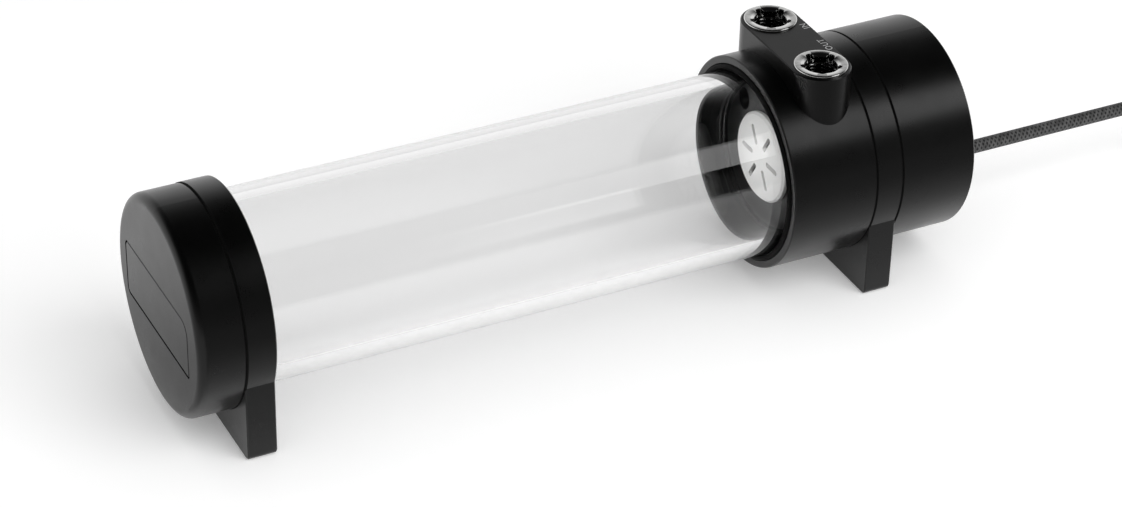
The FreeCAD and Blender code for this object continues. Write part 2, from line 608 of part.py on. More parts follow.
def inlet_strainer():
    """Disc with radial slots in front of the suction hole, and a collar that plugs into the floor."""
    body = new_body("inlet_strainer", "Housing + FloorPlace")
    outer = "StrainerOuter / 2"
    collar = "SuctionRecess / 2 - SnugGap"
    face = "0 - StrainerProud"
    turned(body, "disc", [
        (face, "0"), (face, outer + " - StrainerBevel"), (face + " + StrainerBevel", outer), ("0", outer),
        ("0", collar), ("StrainerStub", collar), ("StrainerStub", collar + " - StrainerWall"),
        (face + " + StrainerSkin", collar + " - StrainerWall"), (face + " + StrainerSkin", "0")])
    doc.recompute()
    slot = extruded(body, "slot", "YZ_Plane", slot_outline, "StrainerSkin", face, cut=True)
    repeated(body, "slots", slot, "SlotCount")


def slot_outline(sketch):
    """Slot with round ends along the sketch's first axis."""
    end, bend = "SlotFrom + SlotLong", "SlotWide / 2"
    outline(sketch, [
        (f"SlotFrom + {bend}", f"0 - {bend}"), (f"{end} - {bend}", f"0 - {bend}", bend, 1),
        (end, "0", bend, 1), (f"{end} - {bend}", bend), (f"SlotFrom + {bend}", bend, bend, 1),
        ("SlotFrom", "0", bend, 1)])


# Pump: what stands still in the coolant, the rotor and the motor. Its places count from the ball's middle,
# which lies in the plane of the housing's seat.

def pump_body():
    """Flange on the seat with a thin dome behind it."""
    body = new_body("pump_body", "PumpSeat")
    dome = "DomeInner + DomeWall"
    turned(body, "flange_and_dome", [
        ("0", "DomeInner"), ("0", "FlangeOuter / 2"), ("FlangeThick", "FlangeOuter / 2"),
        ("FlangeThick", f"sqrt(({dome}) ^ 2 - FlangeThick ^ 2)", dome, -1), (dome, "0"),
        ("DomeInner", "0", "DomeInner", 1)])


def bearing():
    """Post on the dome's bottom, ball on the post, cup in the rotor."""
    post = new_body("bearing_post", "PumpSeat")
    seat = "(BallRadius + SnugGap)"
    end = "sqrt(DomeInner ^ 2 - PostRadius ^ 2) - SnugGap"
    turned(post, "post", [
        (seat, "0", seat, 1), (f"sqrt({seat} ^ 2 - PostRadius ^ 2)", "PostRadius"), (end, "PostRadius"),
        (end, "0")])
    ball = new_body("bearing_ball", "PumpSeat")
    turned(ball, "ball", [("0 - BallRadius", "0", "BallRadius", -1), ("0", "BallRadius", "BallRadius", -1),
                          ("BallRadius", "0")])
    cup = new_body("bearing_cup", "PumpSeat")
    inner = "(BallRadius + TurnGap)"
    turned(cup, "cup", [
        (f"0 - {inner} - CupWall", "0"), (f"0 - {inner} - CupWall", "CupOuter / 2"), ("0", "CupOuter / 2"),
        ("0", inner, inner, 1), (f"0 - {inner}", "0")])


def impeller():
    """Back disc with hub and sleeve, curved blades, and the front disc with its collar."""
    rim, hub = "ImpellerOuter / 2", "HubRadius"
    cup_end = "0 - BallRadius - TurnGap - CupWall"
    nose = f"{cup_end} - HubWall"
    sleeve = "CupOuter / 2 - HubWall"
    body = new_body("impeller", "PumpSeat")
    turned(body, "back_disc", [
        (nose, "0"), (nose, sleeve), (cup_end, hub), ("BackDisc - ShroudThick", hub),
        ("BackDisc", "EyeRadius"), ("BackDisc", rim), ("0 - ImpellerGap", rim), ("0 - ImpellerGap", hub),
        ("HubTail", hub), ("HubTail", sleeve), ("SnugGap", sleeve), ("SnugGap", "CupOuter / 2"),
        (cup_end, "CupOuter / 2"), (cup_end, "0")])
    doc.recompute()
    root = "(EyeRadius + EyeCollar)"
    tip_y, tip_z = f"{rim} * cos(VaneSweep)", f"{rim} * sin(VaneSweep)"
    vane = extruded(body, "vane", "YZ_Plane", lambda sketch: outline(sketch, [
        (root, "0", "VaneArc", 1), (tip_y, tip_z),
        (f"{tip_y} - VaneThick * cos(VaneLeanOut)", f"{tip_z} - VaneThick * sin(VaneLeanOut)",
         "VaneArc - VaneThick", -1),
        (f"{root} - VaneThick * cos(VaneLeanIn)", "VaneThick * sin(VaneLeanIn)")]),
        "VaneHeight", "FrontDisc")
    repeated(body, "vanes", vane, "VaneCount")
    turned(body, "front_disc", [
        ("FrontDisc", "EyeRadius"), ("FrontDisc", rim), ("FrontDisc - ShroudThick", rim),
        ("FrontDisc - ShroudThick", root), ("FrontDisc - ShroudThick - EyeCollar", root),
        ("FrontDisc - ShroudThick - EyeCollar", "EyeRadius")])


def rotor_magnet():
    """Ball-shaped shell on the rotor's sleeve, inside the dome."""
    body = new_body("rotor_magnet", "PumpSeat")
    inner = "HubRadius + SnugGap"
    front = "0 - ImpellerGap"
    outer = "MagnetRadius"
    turned(body, "magnet", [
        (front, inner), (front, f"sqrt({outer} ^ 2 - ImpellerGap ^ 2)", outer, -1),
        ("HubTail", f"sqrt({outer} ^ 2 - HubTail ^ 2)"), ("HubTail", inner)])


def stator():
    """Ring of laminations with teeth whose ends follow the dome, and a winding on each tooth."""
    clear = "(DomeInner + DomeWall + CoreGap)"
    front = "FlangeThick + CoreGap"
    inner = "CoreOuter / 2 - CoreRing"
    core = new_body("stator_core", "PumpSeat")
    turned(core, "core_ring", box_corners(front, f"{front} + CoreLength", inner, "CoreOuter / 2"))
    doc.recompute()
    tooth = extruded(core, "tooth", "YZ_Plane", lambda sketch: outline(
        sketch, box_corners("DomeInner / 2", inner + " + CoreGap", "0 - ToothWide / 2", "ToothWide / 2")),
        "CoreLength", front)
    repeated(core, "teeth", tooth, "ToothCount")
    turned(core, "dome_room", [("0", "0"), ("0", clear, clear, -1), (clear, "0")], cut=True)
    coils = new_body("stator_coils", "PumpSeat")
    wide = "ToothWide / 2 + SnugGap"
    low, high = f"{front} - SnugGap", f"{front} + CoreLength + SnugGap"
    reach = f"(sqrt(({inner}) ^ 2 - ({wide} + CoilBuild) ^ 2) - SnugGap)"
    coil = extruded(coils, "winding", "XZ_Plane", lambda sketch: winding(sketch, low, high, wide),
                    f"{reach} - {clear} - CoilRoom", f"0 - {reach}")
    repeated(coils, "windings", coil, "ToothCount")


def winding(sketch, low, high, wide):
    """Square ring round a tooth, as seen from the rotor."""
    outline(sketch, box_corners(low, high, f"0 - ({wide})", wide))
    outline(sketch, box_corners(f"{low} - CoilFront", f"{high} + CoilBuild", f"0 - ({wide}) - CoilBuild",
                                f"{wide} + CoilBuild"))


def controller_board():
    """Round circuit board behind the stator with one chip on it."""
    body = new_body("controller_board", "PumpSeat + BoardPlace")
    turned(body, "board", box_corners("0", "BoardThick", "0", "CanOuter - CanWall - TurnGap"))
    half = "ChipSide / 2"
    extruded(body, "chip", "YZ_Plane",
             lambda sketch: outline(sketch, box_corners("0 - " + half, half, "0 - " + half, half)),
             "ChipThick + BoardThick")


def motor_can():
    """Thin cup behind the flange, with a hole for the cable."""
    body = new_body("motor_can", "PumpSeat + FlangeThick")
    inner = "CanOuter - CanWall"
    turned(body, "can", [
        ("0", inner), ("0", "CanOuter"), ("CanLength", "CanOuter"), ("CanLength", "0"),
        ("CanLength - CanWall", "0"), ("CanLength - CanWall", inner)])
    doc.recompute()
    extruded(body, "cable_way", "YZ_Plane",
             lambda sketch: circle(sketch, "0", "0 - CableDrop", "CableOuter / 2 + SnugGap"),
             "CanWall", "CanLength - CanWall", cut=True)


# Pump cover, its screws and the cable's exit

def pump_cover():
    """Cup with a sleeve that passes through the foot ring and clamps the pump's flange."""
    rim = "RingOuter / 2"
    sleeve = "0 - (HousingLength + FootWidth - Seat - FlangeThick)"
    body = new_body("pump_cover", "Cover")
    turned(body, "cover_form", [
        ("0", "SleeveOuter"), ("0", rim + " - EdgeBreak"), ("EdgeBreak", rim),
        ("CoverLength - EdgeBreak", rim), ("CoverLength", rim + " - EdgeBreak"), ("CoverLength", "0"),
        ("CoverLength - CoverBack", "0"), ("CoverLength - CoverBack", "SleeveInner"),
        (sleeve, "SleeveInner"), (sleeve, "SleeveOuter")])
    doc.recompute()
    screw_holes(body, "cover_screw", "ScrewShank / 2 + ScrewClear", "0", "CoverLength")
    head_room = "ScrewHeadHigh + HeadSink"
    screw_holes(body, "cover_head", "ScrewHead / 2 + HeadClear", f"CoverLength - ({head_room})", head_room)
    extruded(body, "cable_exit", "YZ_Plane",
             lambda sketch: circle(sketch, "0", "0 - CableDrop", "ReliefNeck / 2 + SnugGap"),
             "CoverBack", "CoverLength - CoverBack", cut=True)


def cover_screws():
    """Four socket screws that clamp cover and foot ring to the housing."""
    head_under = "CoverLength - HeadSink - ScrewHeadHigh"
    side = "ScrewCircle / 2 * cos(ScrewTurn)"
    up = "ScrewCircle / 2 * sin(ScrewTurn)"
    tip = "0 - FootWidth - ScrewReach"
    body = new_body("cover_screws", "Cover")
    shank = extruded(body, "shank", "YZ_Plane", lambda sketch: circle(sketch, side, up, "ScrewShank / 2"),
                     f"{head_under} - ({tip})", tip)
    repeated(body, "shanks", shank, "ScrewCount")
    head = extruded(body, "head", "YZ_Plane", lambda sketch: circle(sketch, side, up, "ScrewHead / 2"),
                    "ScrewHeadHigh", head_under)
    repeated(body, "heads", head, "ScrewCount")
    socket = extruded(body, "socket", "YZ_Plane", lambda sketch: hexagon(sketch, side, up, "ScrewSocket"),
                      "ScrewSocketDeep", "CoverLength - HeadSink - ScrewSocketDeep", cut=True)
    repeated(body, "sockets", socket, "ScrewCount")


def hexagon(sketch, x, y, across):
    """Regular hexagon with two corners along the sketch's first axis."""
    reach = f"({across}) / 2 / cos(30)"
    outline(sketch, [(f"{x} + {reach} * cos({turn})", f"{y} + {reach} * sin({turn})")
                     for turn in range(0, 360, 60)])


def cable_relief():
    """Rubber sleeve: flange inside the cover, neck in its wall, taper behind it."""
    body = new_body("cable_relief", "RearFace", "0", "AxisHeight - CableDrop")
    bore = "CableOuter / 2 + SnugGap"
    inside = "0 - CoverBack - ReliefFlange"
    turned(body, "relief", [
        (inside, bore), (inside, "ReliefRoot / 2"), ("0 - CoverBack", "ReliefRoot / 2"),
        ("0 - CoverBack", "ReliefNeck / 2"), ("0", "ReliefNeck / 2"), ("0", "ReliefRoot / 2"),
        ("ReliefLength", "ReliefTip / 2"), ("ReliefLength", bore)])


# Cable: its route outside the cover in the part's own frame, as points chosen by hand, then one closed ring
# for the coil, a short tail inside the coil and a four-way connector.

CABLE_Z = number("AxisHeight - CableDrop")
CABLE_RADIUS = number("CableOuter / 2")
CABLE_ROUTE = [
    (number("RearFace"), 0.0, CABLE_Z),
    (243.0, 0.0, CABLE_Z),
    (270.0, 0.0, CABLE_RADIUS),
    (289.0, -3.6, CABLE_RADIUS),
]
COIL_MIDDLE = (299.0, -33.0)
COIL_INNER = 20.0
COIL_OUTER = 32.5
TAIL_START = (279.8, -42.6)
TAIL_HEADING = 45.0
TAIL_LONG = 10.0


def rounded_path(points):
    """Straight runs joined by tangent arcs, each as large as its two runs allow; also the arcs' radii."""
    spots = [FreeCAD.Vector(*point) for point in points]
    edges, radii, start = [], [], spots[0]
    for before, corner, after in zip(spots, spots[1:], spots[2:]):
        back = before.sub(corner)
        ahead = after.sub(corner)
        half_turn = (math.pi - back.getAngle(ahead)) / 2
        cut = 0.45 * min(back.Length, ahead.Length)
        radius = cut / math.tan(half_turn)
        first = corner.add(FreeCAD.Vector(back).normalize().multiply(cut))
        last = corner.add(FreeCAD.Vector(ahead).normalize().multiply(cut))
        inward = FreeCAD.Vector(back).normalize().add(FreeCAD.Vector(ahead).normalize()).normalize()
        middle = corner.add(FreeCAD.Vector(inward).multiply(radius / math.cos(half_turn) - radius))
        edges += [Part.LineSegment(start, first).toShape(), Part.Arc(first, middle, last).toShape()]
        radii.append(round(radius, 1))
        start = last
    edges.append(Part.LineSegment(start, spots[-1]).toShape())
    return Part.Wire(edges), radii


def pump_cable():
    """Round tube along the cable's route."""
    path, radii = rounded_path(CABLE_ROUTE)
    along = FreeCAD.Vector(*CABLE_ROUTE[1]).sub(FreeCAD.Vector(*CABLE_ROUTE[0]))
    section = Part.Wire([Part.makeCircle(CABLE_RADIUS, FreeCAD.Vector(*CABLE_ROUTE[0]), along)])
    solid = path.makePipeShell([section], True, True)
    share = solid.Volume / (math.pi * CABLE_RADIUS ** 2 * path.Length)
    print("cable radii", radii, "length", round(path.Length, 1), "volume share", round(share, 4))
    feature = doc.addObject("Part::Feature", "pump_cable")
    feature.Shape = solid
    feature.Placement = FreeCAD.Placement()


def inner_lead():
    """The cable's stretch from inside the motor's can to the cover's rear face."""
    start = "PumpSeat + FlangeThick + CanLength - CanWall"
    body = new_body("inner_lead", start, "0", "AxisHeight - CableDrop")
    length = f"RearFace - ({start})"
    turned(body, "lead", box_corners("0", length, "0", "CableOuter / 2"))


def cable_end():
    """Coil, tail and connector on the standing surface."""
    coil = new_body("cable_coil", *(str(place) for place in COIL_MIDDLE), "0")
    turned(coil, "coil", box_corners(str(COIL_INNER), str(COIL_OUTER), "0", "CableOuter"), upright=True)
    heading = str(TAIL_HEADING)
    tail = new_body("cable_tail", *(str(place) for place in TAIL_START), "CableOuter / 2", heading)
    turned(tail, "tail", box_corners("0", str(TAIL_LONG), "0", "CableOuter / 2"))
    plug_x = f"{TAIL_START[0]} + {TAIL_LONG} * cos({heading})"
    plug_y = f"{TAIL_START[1]} + {TAIL_LONG} * sin({heading})"
    shell = new_body("cable_connector", plug_x, plug_y, "PlugHigh / 2", heading)
    half_wide, half_high = "PlugWide / 2", "PlugHigh / 2"
    shell_corners = box_corners("0 - " + half_wide, half_wide, "0 - " + half_high, half_high)
    extruded(shell, "connector_shell", "YZ_Plane", lambda sketch: outline(sketch, shell_corners), "PlugLong")
    contacts = new_body("connector_contacts", plug_x, plug_y, "PlugHigh / 2", heading)
    room_start = "PlugLong - ContactRoomDeep"
    for index in range(int(number("ContactCount"))):
        middle = f"({index} - (ContactCount - 1) / 2) * ContactPitch"
        extruded(shell, f"contact_room_{index}", "YZ_Plane",
                 lambda sketch: square(sketch, middle, "ContactRoom"), "ContactRoomDeep", room_start,
                 cut=True)
        extruded(contacts, f"contact_{index}", "YZ_Plane", lambda sketch: contact_section(sketch, middle),
                 "ContactLong", room_start)


def square(sketch, middle, side):
    """Square of that side round a point of the sketch's first axis."""
    half = f"{side} / 2"
    outline(sketch, box_corners(f"{middle} - {half}", f"{middle} + {half}", "0 - " + half, half))


def contact_section(sketch, middle):
    """Square tube of a spring contact."""
    square(sketch, middle, "ContactSide")
    square(sketch, middle, "ContactBore")


def build():
    """Every piece in order from the cap to the cable's end."""
    end_cap()
    label_plate()
    ring_seal("cap_seal", "CapFace", "CapLength - CapSealPlace", "CapSealRadius", "SealSection")
    front_foot_ring()
    reservoir_tube()
    ring_seal("tube_seal", "Housing", "MouthDepth - MouthSeal / 2",
              "TubeOuter / 2 + SnugGap + MouthSeal / 2", "MouthSeal")
    pump_top()
    port_insert("port_insert_in", "")
    port_insert("port_insert_out", "0 - ")
    inlet_strainer()
    ring_seal("pump_seal", "PumpSeat", "0 - PumpSeal / 2", "PumpSealPlace / 2", "PumpSeal")
    pump_body()
    bearing()
    impeller()
    rotor_magnet()
    stator()
    controller_board()
    motor_can()
    rear_foot_ring()
    pump_cover()
    cover_screws()
    cable_relief()
    inner_lead()
    pump_cable()
    cable_end()
    doc.recompute()


def pieces():
    """The objects that are pieces of the product, by label."""
    return [item for item in doc.Objects
            if item.TypeId == "PartDesign::Body" or (item.TypeId == "Part::Feature" and not item.InList)]


def check_and_write():
    """Stops on any failed object or broken shape, then writes one file per piece."""
    for item in doc.Objects:
        if "Invalid" in item.State or "Error" in item.State:
            raise RuntimeError(f"{item.Label} failed: {item.State}")
    for piece in pieces():
        if piece.Shape.isNull() or not piece.Shape.isValid() or not piece.Shape.Solids:
            raise RuntimeError(f"{piece.Label} has no sound shape")
    os.makedirs("parts", exist_ok=True)
    for piece in pieces():
        piece.Shape.exportStep(f"parts/{piece.Label}.step")
        print(piece.Label, len(piece.Shape.Solids), "solids", round(piece.Shape.Volume / 1000, 3), "cm3")


build()
check_and_write()
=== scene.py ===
import math

import bpy
from mathutils import Matrix, Vector


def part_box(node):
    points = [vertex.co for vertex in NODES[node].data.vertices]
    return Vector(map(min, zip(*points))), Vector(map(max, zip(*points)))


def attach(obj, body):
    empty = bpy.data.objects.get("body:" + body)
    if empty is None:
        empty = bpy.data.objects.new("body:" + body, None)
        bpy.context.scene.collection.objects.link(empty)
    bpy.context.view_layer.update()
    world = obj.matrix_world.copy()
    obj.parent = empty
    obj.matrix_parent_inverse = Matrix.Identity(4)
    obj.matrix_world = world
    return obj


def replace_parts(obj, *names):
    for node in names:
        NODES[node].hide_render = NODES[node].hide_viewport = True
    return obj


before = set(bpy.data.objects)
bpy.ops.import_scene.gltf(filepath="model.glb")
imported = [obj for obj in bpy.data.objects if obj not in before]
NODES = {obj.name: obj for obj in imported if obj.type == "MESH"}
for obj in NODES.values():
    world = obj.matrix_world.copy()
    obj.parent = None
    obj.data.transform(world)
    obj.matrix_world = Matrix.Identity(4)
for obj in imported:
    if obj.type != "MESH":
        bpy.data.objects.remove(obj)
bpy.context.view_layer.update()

# Clear reservoir with a pump in one end, on a pale floor. Lengths are in metres, in the row's frame: the
# tube's axis runs along X at height AXIS, the screw cap is at -X and the pump at +X.

MM = 0.001
SLOTS = {name: made.material_slots[0].material.name for name, made in NODES.items()}


def low(name, axis):
    """Lowest coordinate of a CAD node along one axis."""
    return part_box(name)[0]["xyz".index(axis)]


def high(name, axis):
    """Highest coordinate of a CAD node along one axis."""
    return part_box(name)[1]["xyz".index(axis)]


# Places that the CAD model gives
AXIS = (low("reservoir_tube", "z") + high("reservoir_tube", "z")) / 2
TUBE_START, TUBE_END = low("reservoir_tube", "x"), high("reservoir_tube", "x")
TUBE_RADIUS = (high("reservoir_tube", "z") - low("reservoir_tube", "z")) / 2
LIP = low("pump_top", "x")
BOSS_TOP = high("pump_top", "z")
BODY_RADIUS = (high("pump_cover", "y") - low("pump_cover", "y")) / 2
PORT_X = (low("port_insert_in", "x") + high("port_insert_in", "x")) / 2
PORT_SIDE = (low("port_insert_in", "y") + high("port_insert_in", "y")) / 2
INSERT_TOP = high("port_insert_in", "z")
INSERT_BOTTOM = low("port_insert_in", "z")
INSERT_RADIUS = (high("port_insert_in", "x") - low("port_insert_in", "x")) / 2
REAR_FACE = high("pump_cover", "x")

# Sizes of the CAD model that aren't read off a box
TUBE_WALL = 5 * MM
CABLE_RADIUS = 2.5 * MM
CABLE_Z = 25.0 * MM


# Camera: its place, its turn to the right, its tilt down and its roll, fitted to the photograph's outlines

CAMERA_PLACE = (-0.418315, -0.822846, 0.627689)
CAMERA_TURN = 0.472504
CAMERA_TILT = 0.578652
CAMERA_ROLL = -0.023126
CAMERA_LENS = 104.34
CAMERA_SENSOR = 36
CAMERA_CLIP = (0.05, 20)


def make_camera():
    """The camera at the photograph's viewing angle."""
    forward = Vector((math.sin(CAMERA_TURN) * math.cos(CAMERA_TILT),
                      math.cos(CAMERA_TURN) * math.cos(CAMERA_TILT), -math.sin(CAMERA_TILT)))
    level = Vector((math.cos(CAMERA_TURN), -math.sin(CAMERA_TURN), 0))
    down = forward.cross(level)
    right = math.cos(CAMERA_ROLL) * level + math.sin(CAMERA_ROLL) * down
    up = math.sin(CAMERA_ROLL) * level - math.cos(CAMERA_ROLL) * down
    data = bpy.data.cameras.new("camera")
    data.lens, data.sensor_width = CAMERA_LENS, CAMERA_SENSOR
    data.clip_start, data.clip_end = CAMERA_CLIP
    camera = bpy.data.objects.new("camera", data)
    camera.matrix_world = Matrix.Translation(CAMERA_PLACE) @ Matrix(
        (right, up, -forward)).transposed().to_4x4()
    bpy.context.scene.collection.objects.link(camera)
    bpy.context.scene.camera = camera


# Materials

# Black plastic where it is clean and where it is worn, and the width of such patches
BLACK = (0.0007, 0.0007, 0.0007)
BLACK_WORN = (0.0013, 0.0013, 0.0013)
PATCH = 9 * MM

# Dull seams between cap, rings, housing and cover: places along the axis, half a width, reach, roughness
SEAMS = [low("front_foot_ring", "x"), low("rear_foot_ring", "x"), high("rear_foot_ring", "x")]
SEAM_HALF = 0.5 * MM
SEAM_REACH = BODY_RADIUS + 0.1 * MM
SEAM_ROUGH = 0.95
# Dull seat of the tube's end: middle and half its width, along the axis and outward
SEAT_ALONG = ((LIP + TUBE_END) / 2 + 1 * MM, (TUBE_END - LIP) / 2 + 0.5 * MM)
SEAT_OUTWARD = (TUBE_RADIUS - TUBE_WALL / 2, TUBE_WALL / 2 + 1 * MM)

# Painted shade in the inserts' threads: height where it starts, its reach down, and what is left of the
# colour
THREAD_PAINTED_SHADE = (INSERT_TOP - 1.5 * MM, 3.5 * MM, 0.12)

# Acrylic: refraction, length of its waves, and what its shadow lets through
ACRYLIC_IOR = 1.49
ACRYLIC_WAVE = 30 * MM
ACRYLIC_SHADOW = (0.96, 0.96, 0.96, 1)

# Braid: pitch of its crossings on the straight run, crossings over the whole cable's UV, strands round it,
# depth of its relief, width of its uneven patches and of a thread, its tones, and where the coil starts
BRAID_PITCH = 1.7 * MM
BRAID_CROSSINGS = 210
BRAID_STRANDS = 6
BRAID_DEPTH = 0.12 * MM
BRAID_PATCH = 2.2 * MM
BRAID_THREAD = 0.35 * MM
BRAID_DARK = (0.002, 0.002, 0.002)
BRAID_LIGHT = (0.085, 0.085, 0.085)
COIL_FROM = 262 * MM

# Steel sheets and the gap's share of their pitch, wire, and the circuit board without its chip
SHEET_PITCH = 0.5 * MM
SHEET_GAP = 0.16
WIRE_PITCH = 0.5 * MM
BOARD_THICK = 1.6 * MM
BOARD_TRACKS = 5 * MM

# Floor: width of its patches and of its grain, its glow where it is lit in full and where it is darkest; the
# glow dims with the painted shade below
FLOOR_PATCH = 400 * MM
FLOOR_GRAIN = 60 * MM
FLOOR_GLOW = 0.18
FLOOR_GLOW_LEAST = 0.1
# Painted shade in what satin surfaces mirror: share of the floor's tone, by distance towards the front, up to
# the reach
FLOOR_PAINTED_DIM_REACH = 0.3
FLOOR_PAINTED_DIM = [(0.0, 1.0), (0.036, 1.0), (0.056, 0.54), (0.095, 0.26), (0.15, 0.12), (0.277, 0.1)]
# Painted shade in what the cap's face mirrors, left of this place: share in front and behind, and where one
# becomes the other
FLOOR_CAP_END = -0.15
FLOOR_CAP_PAINTED_SHARE = (0.5, 1.0)
FLOOR_CAP_PAINTED_REACH = (0.03, 0.11)
# Painted light in front of the tube and painted shade behind it, in what is seen through the tube: share of
# the floor's tone in front and behind, and where one becomes the other
FLOOR_THROUGH_PAINTED = (1.06, 0.86)
FLOOR_THROUGH_PAINTED_REACH = (0.01, 0.08)


def new_material(name):
    """An empty node material with its output and a Principled shader joined to it."""
    material = bpy.data.materials.new(name)
    material.use_nodes = True
    tree = material.node_tree
    tree.nodes.clear()
    output = tree.nodes.new("ShaderNodeOutputMaterial")
    shader = tree.nodes.new("ShaderNodeBsdfPrincipled")
    tree.links.new(shader.outputs["BSDF"], output.inputs["Surface"])
    return material, tree, shader


def node(tree, kind, inputs=(), **settings):
    """A node with its settings; an input is a value or another node's output."""
    made = tree.nodes.new("ShaderNode" + kind)
    for key, value in settings.items():
        setattr(made, key, value)
    for key, value in dict(inputs).items():
        if isinstance(value, bpy.types.NodeSocket):
            tree.links.new(value, made.inputs[key])
        else:
            made.inputs[key].default_value = value
    return made


def maths(tree, operation, *values):
    """The output of a Math node."""
    return node(tree, "Math", enumerate(values), operation=operation).outputs[0]


def place_of(tree, stretch=(1, 1, 1)):
    """Object coordinates, scaled along each axis."""
    coordinates = node(tree, "TexCoord").outputs["Object"]
    return node(tree, "Mapping", {"Vector": coordinates, "Scale": stretch}).outputs[0]


def noise(tree, size, stretch=(1, 1, 1), detail=3):
    """Noise whose grains are about size metres wide, from 0 to 1."""
    return node(tree, "TexNoise", {"Vector": place_of(tree, stretch), "Scale": 1 / size,
                                   "Detail": detail}).outputs["Fac"]


def ranged(tree, value, low_end, high_end, start=0.3, stop=0.7):
    """Value stretched from start..stop to low_end..high_end."""
    return node(tree, "MapRange", {0: value, 1: start, 2: stop, 3: low_end, 4: high_end}).outputs[0]


def either(tree, chosen, first, second):
    """The first value where chosen is 0 and the second where it is 1."""
    return node(tree, "Mix", {0: chosen, 2: first, 3: second}, data_type="FLOAT").outputs[0]


def blended(tree, value, first, second):
    """A colour between two, by value."""
    ramp = node(tree, "ValToRGB", {"Fac": value})
    for stop, colour in zip(ramp.color_ramp.elements, (first, second)):
        stop.color = (*colour, 1)
    return ramp.outputs["Color"]


def ramped(tree, value, stops):
    """A value read off stops of (position, value), both from 0 to 1."""
    ramp = node(tree, "ValToRGB", {"Fac": value})
    elements = ramp.color_ramp.elements
    while len(elements) < len(stops):
        elements.new(0.5)
    for element, (position, height) in zip(elements, stops):
        element.position = position
        element.color = (height, height, height, 1)
    return ramp.outputs["Color"]


def scaled(tree, colour, share):
    """A colour times a share."""
    return node(tree, "VectorMath", {0: colour, "Scale": share}, operation="SCALE").outputs[0]


def along_and_outward(tree):
    """Place along the tube's axis, and distance from that axis."""
    split = node(tree, "SeparateXYZ", {0: place_of(tree)}).outputs
    across = node(tree, "CombineXYZ", {0: 0.0, 1: split[1], 2: maths(tree, "SUBTRACT", split[2], AXIS)})
    return split[0], node(tree, "VectorMath", {0: across.outputs[0]}, operation="LENGTH").outputs["Value"]


def bumped(tree, shader, height, depth, strength=1.0):
    """Bump of that depth in metres on the shader."""
    bump = node(tree, "Bump", {"Height": height, "Distance": depth, "Strength": strength})
    tree.links.new(bump.outputs[0], shader.inputs["Normal"])


def plain(name, first, second, rough, grain=0.4 * MM, bump=0.01 * MM, metallic=0.0, specular=0.5):
    """Colour between two tones in soft patches, roughness between two values, and a fine grain in relief."""
    material, tree, shader = new_material(name)
    patches = noise(tree, PATCH, detail=2)
    fine = noise(tree, grain)
    tree.links.new(blended(tree, patches, first, second), shader.inputs["Base Color"])
    mixed = maths(tree, "MULTIPLY_ADD", fine, 0.5, maths(tree, "MULTIPLY", patches, 0.5))
    tree.links.new(ranged(tree, mixed, *rough, 0.35, 0.65), shader.inputs["Roughness"])
    shader.inputs["Metallic"].default_value = metallic
    shader.inputs["Specular IOR Level"].default_value = specular
    bumped(tree, shader, fine, bump)
    return material


def dull_seams(material):
    """Makes the seams between cap, rings, housing and cover dull, and the seat of the tube's end."""
    tree = material.node_tree
    shader = tree.nodes["Principled BSDF"]
    along, outward = along_and_outward(tree)
    seam = 0.0
    for place in SEAMS:
        seam = maths(tree, "MAXIMUM", maths(tree, "COMPARE", along, place, SEAM_HALF), seam)
    seam = maths(tree, "MULTIPLY", seam, maths(tree, "LESS_THAN", outward, SEAM_REACH))
    seat = maths(tree, "MULTIPLY", maths(tree, "COMPARE", along, *SEAT_ALONG),
                 maths(tree, "COMPARE", outward, *SEAT_OUTWARD))
    dull = maths(tree, "MULTIPLY", maths(tree, "MAXIMUM", seam, seat), SEAM_ROUGH)
    rough = shader.inputs["Roughness"].links[0].from_socket
    tree.links.new(maths(tree, "MAXIMUM", rough, dull), shader.inputs["Roughness"])
    return material


def painted_shade_below(material, top, reach, share):
    """Paints shade into a material's colour: fades it to a share of itself over a reach below a height, as
    shade falls in deep threads.
    """
    tree = material.node_tree
    shader = tree.nodes["Principled BSDF"]
    height = node(tree, "SeparateXYZ", {0: place_of(tree)}).outputs[2]
    # Share of the colour that the painted shade leaves, by height
    kept = ranged(tree, height, share, 1.0, top - reach, top)
    colour = shader.inputs["Base Color"].links[0].from_socket
    tree.links.new(scaled(tree, colour, kept), shader.inputs["Base Color"])
    return material


def clear_plastic(name):
    """Cast acrylic: clear, faintly wavy along the tube, and open to the light of the lamps."""
    material, tree, shader = new_material(name)
    output = tree.nodes["Material Output"]
    waves = noise(tree, ACRYLIC_WAVE, stretch=(0.35, 1, 1), detail=1)
    tint = blended(tree, waves, (0.975, 0.975, 0.975), (0.99, 0.99, 0.99))
    tree.links.new(tint, shader.inputs["Base Color"])
    tree.links.new(ranged(tree, noise(tree, 0.8 * MM), 0.0, 0.02, 0.68, 0.8), shader.inputs["Roughness"])
    shader.inputs["IOR"].default_value = ACRYLIC_IOR
    shader.inputs["Transmission Weight"].default_value = 1.0
    bumped(tree, shader, waves, 0.02 * MM, strength=0.4)
    shadow = node(tree, "LightPath").outputs["Is Shadow Ray"]
    let_through = node(tree, "BsdfTransparent", {"Color": ACRYLIC_SHADOW}).outputs[0]
    mix = node(tree, "MixShader", {0: shadow, 1: shader.outputs[0], 2: let_through})
    tree.links.new(mix.outputs[0], output.inputs["Surface"])
    return material


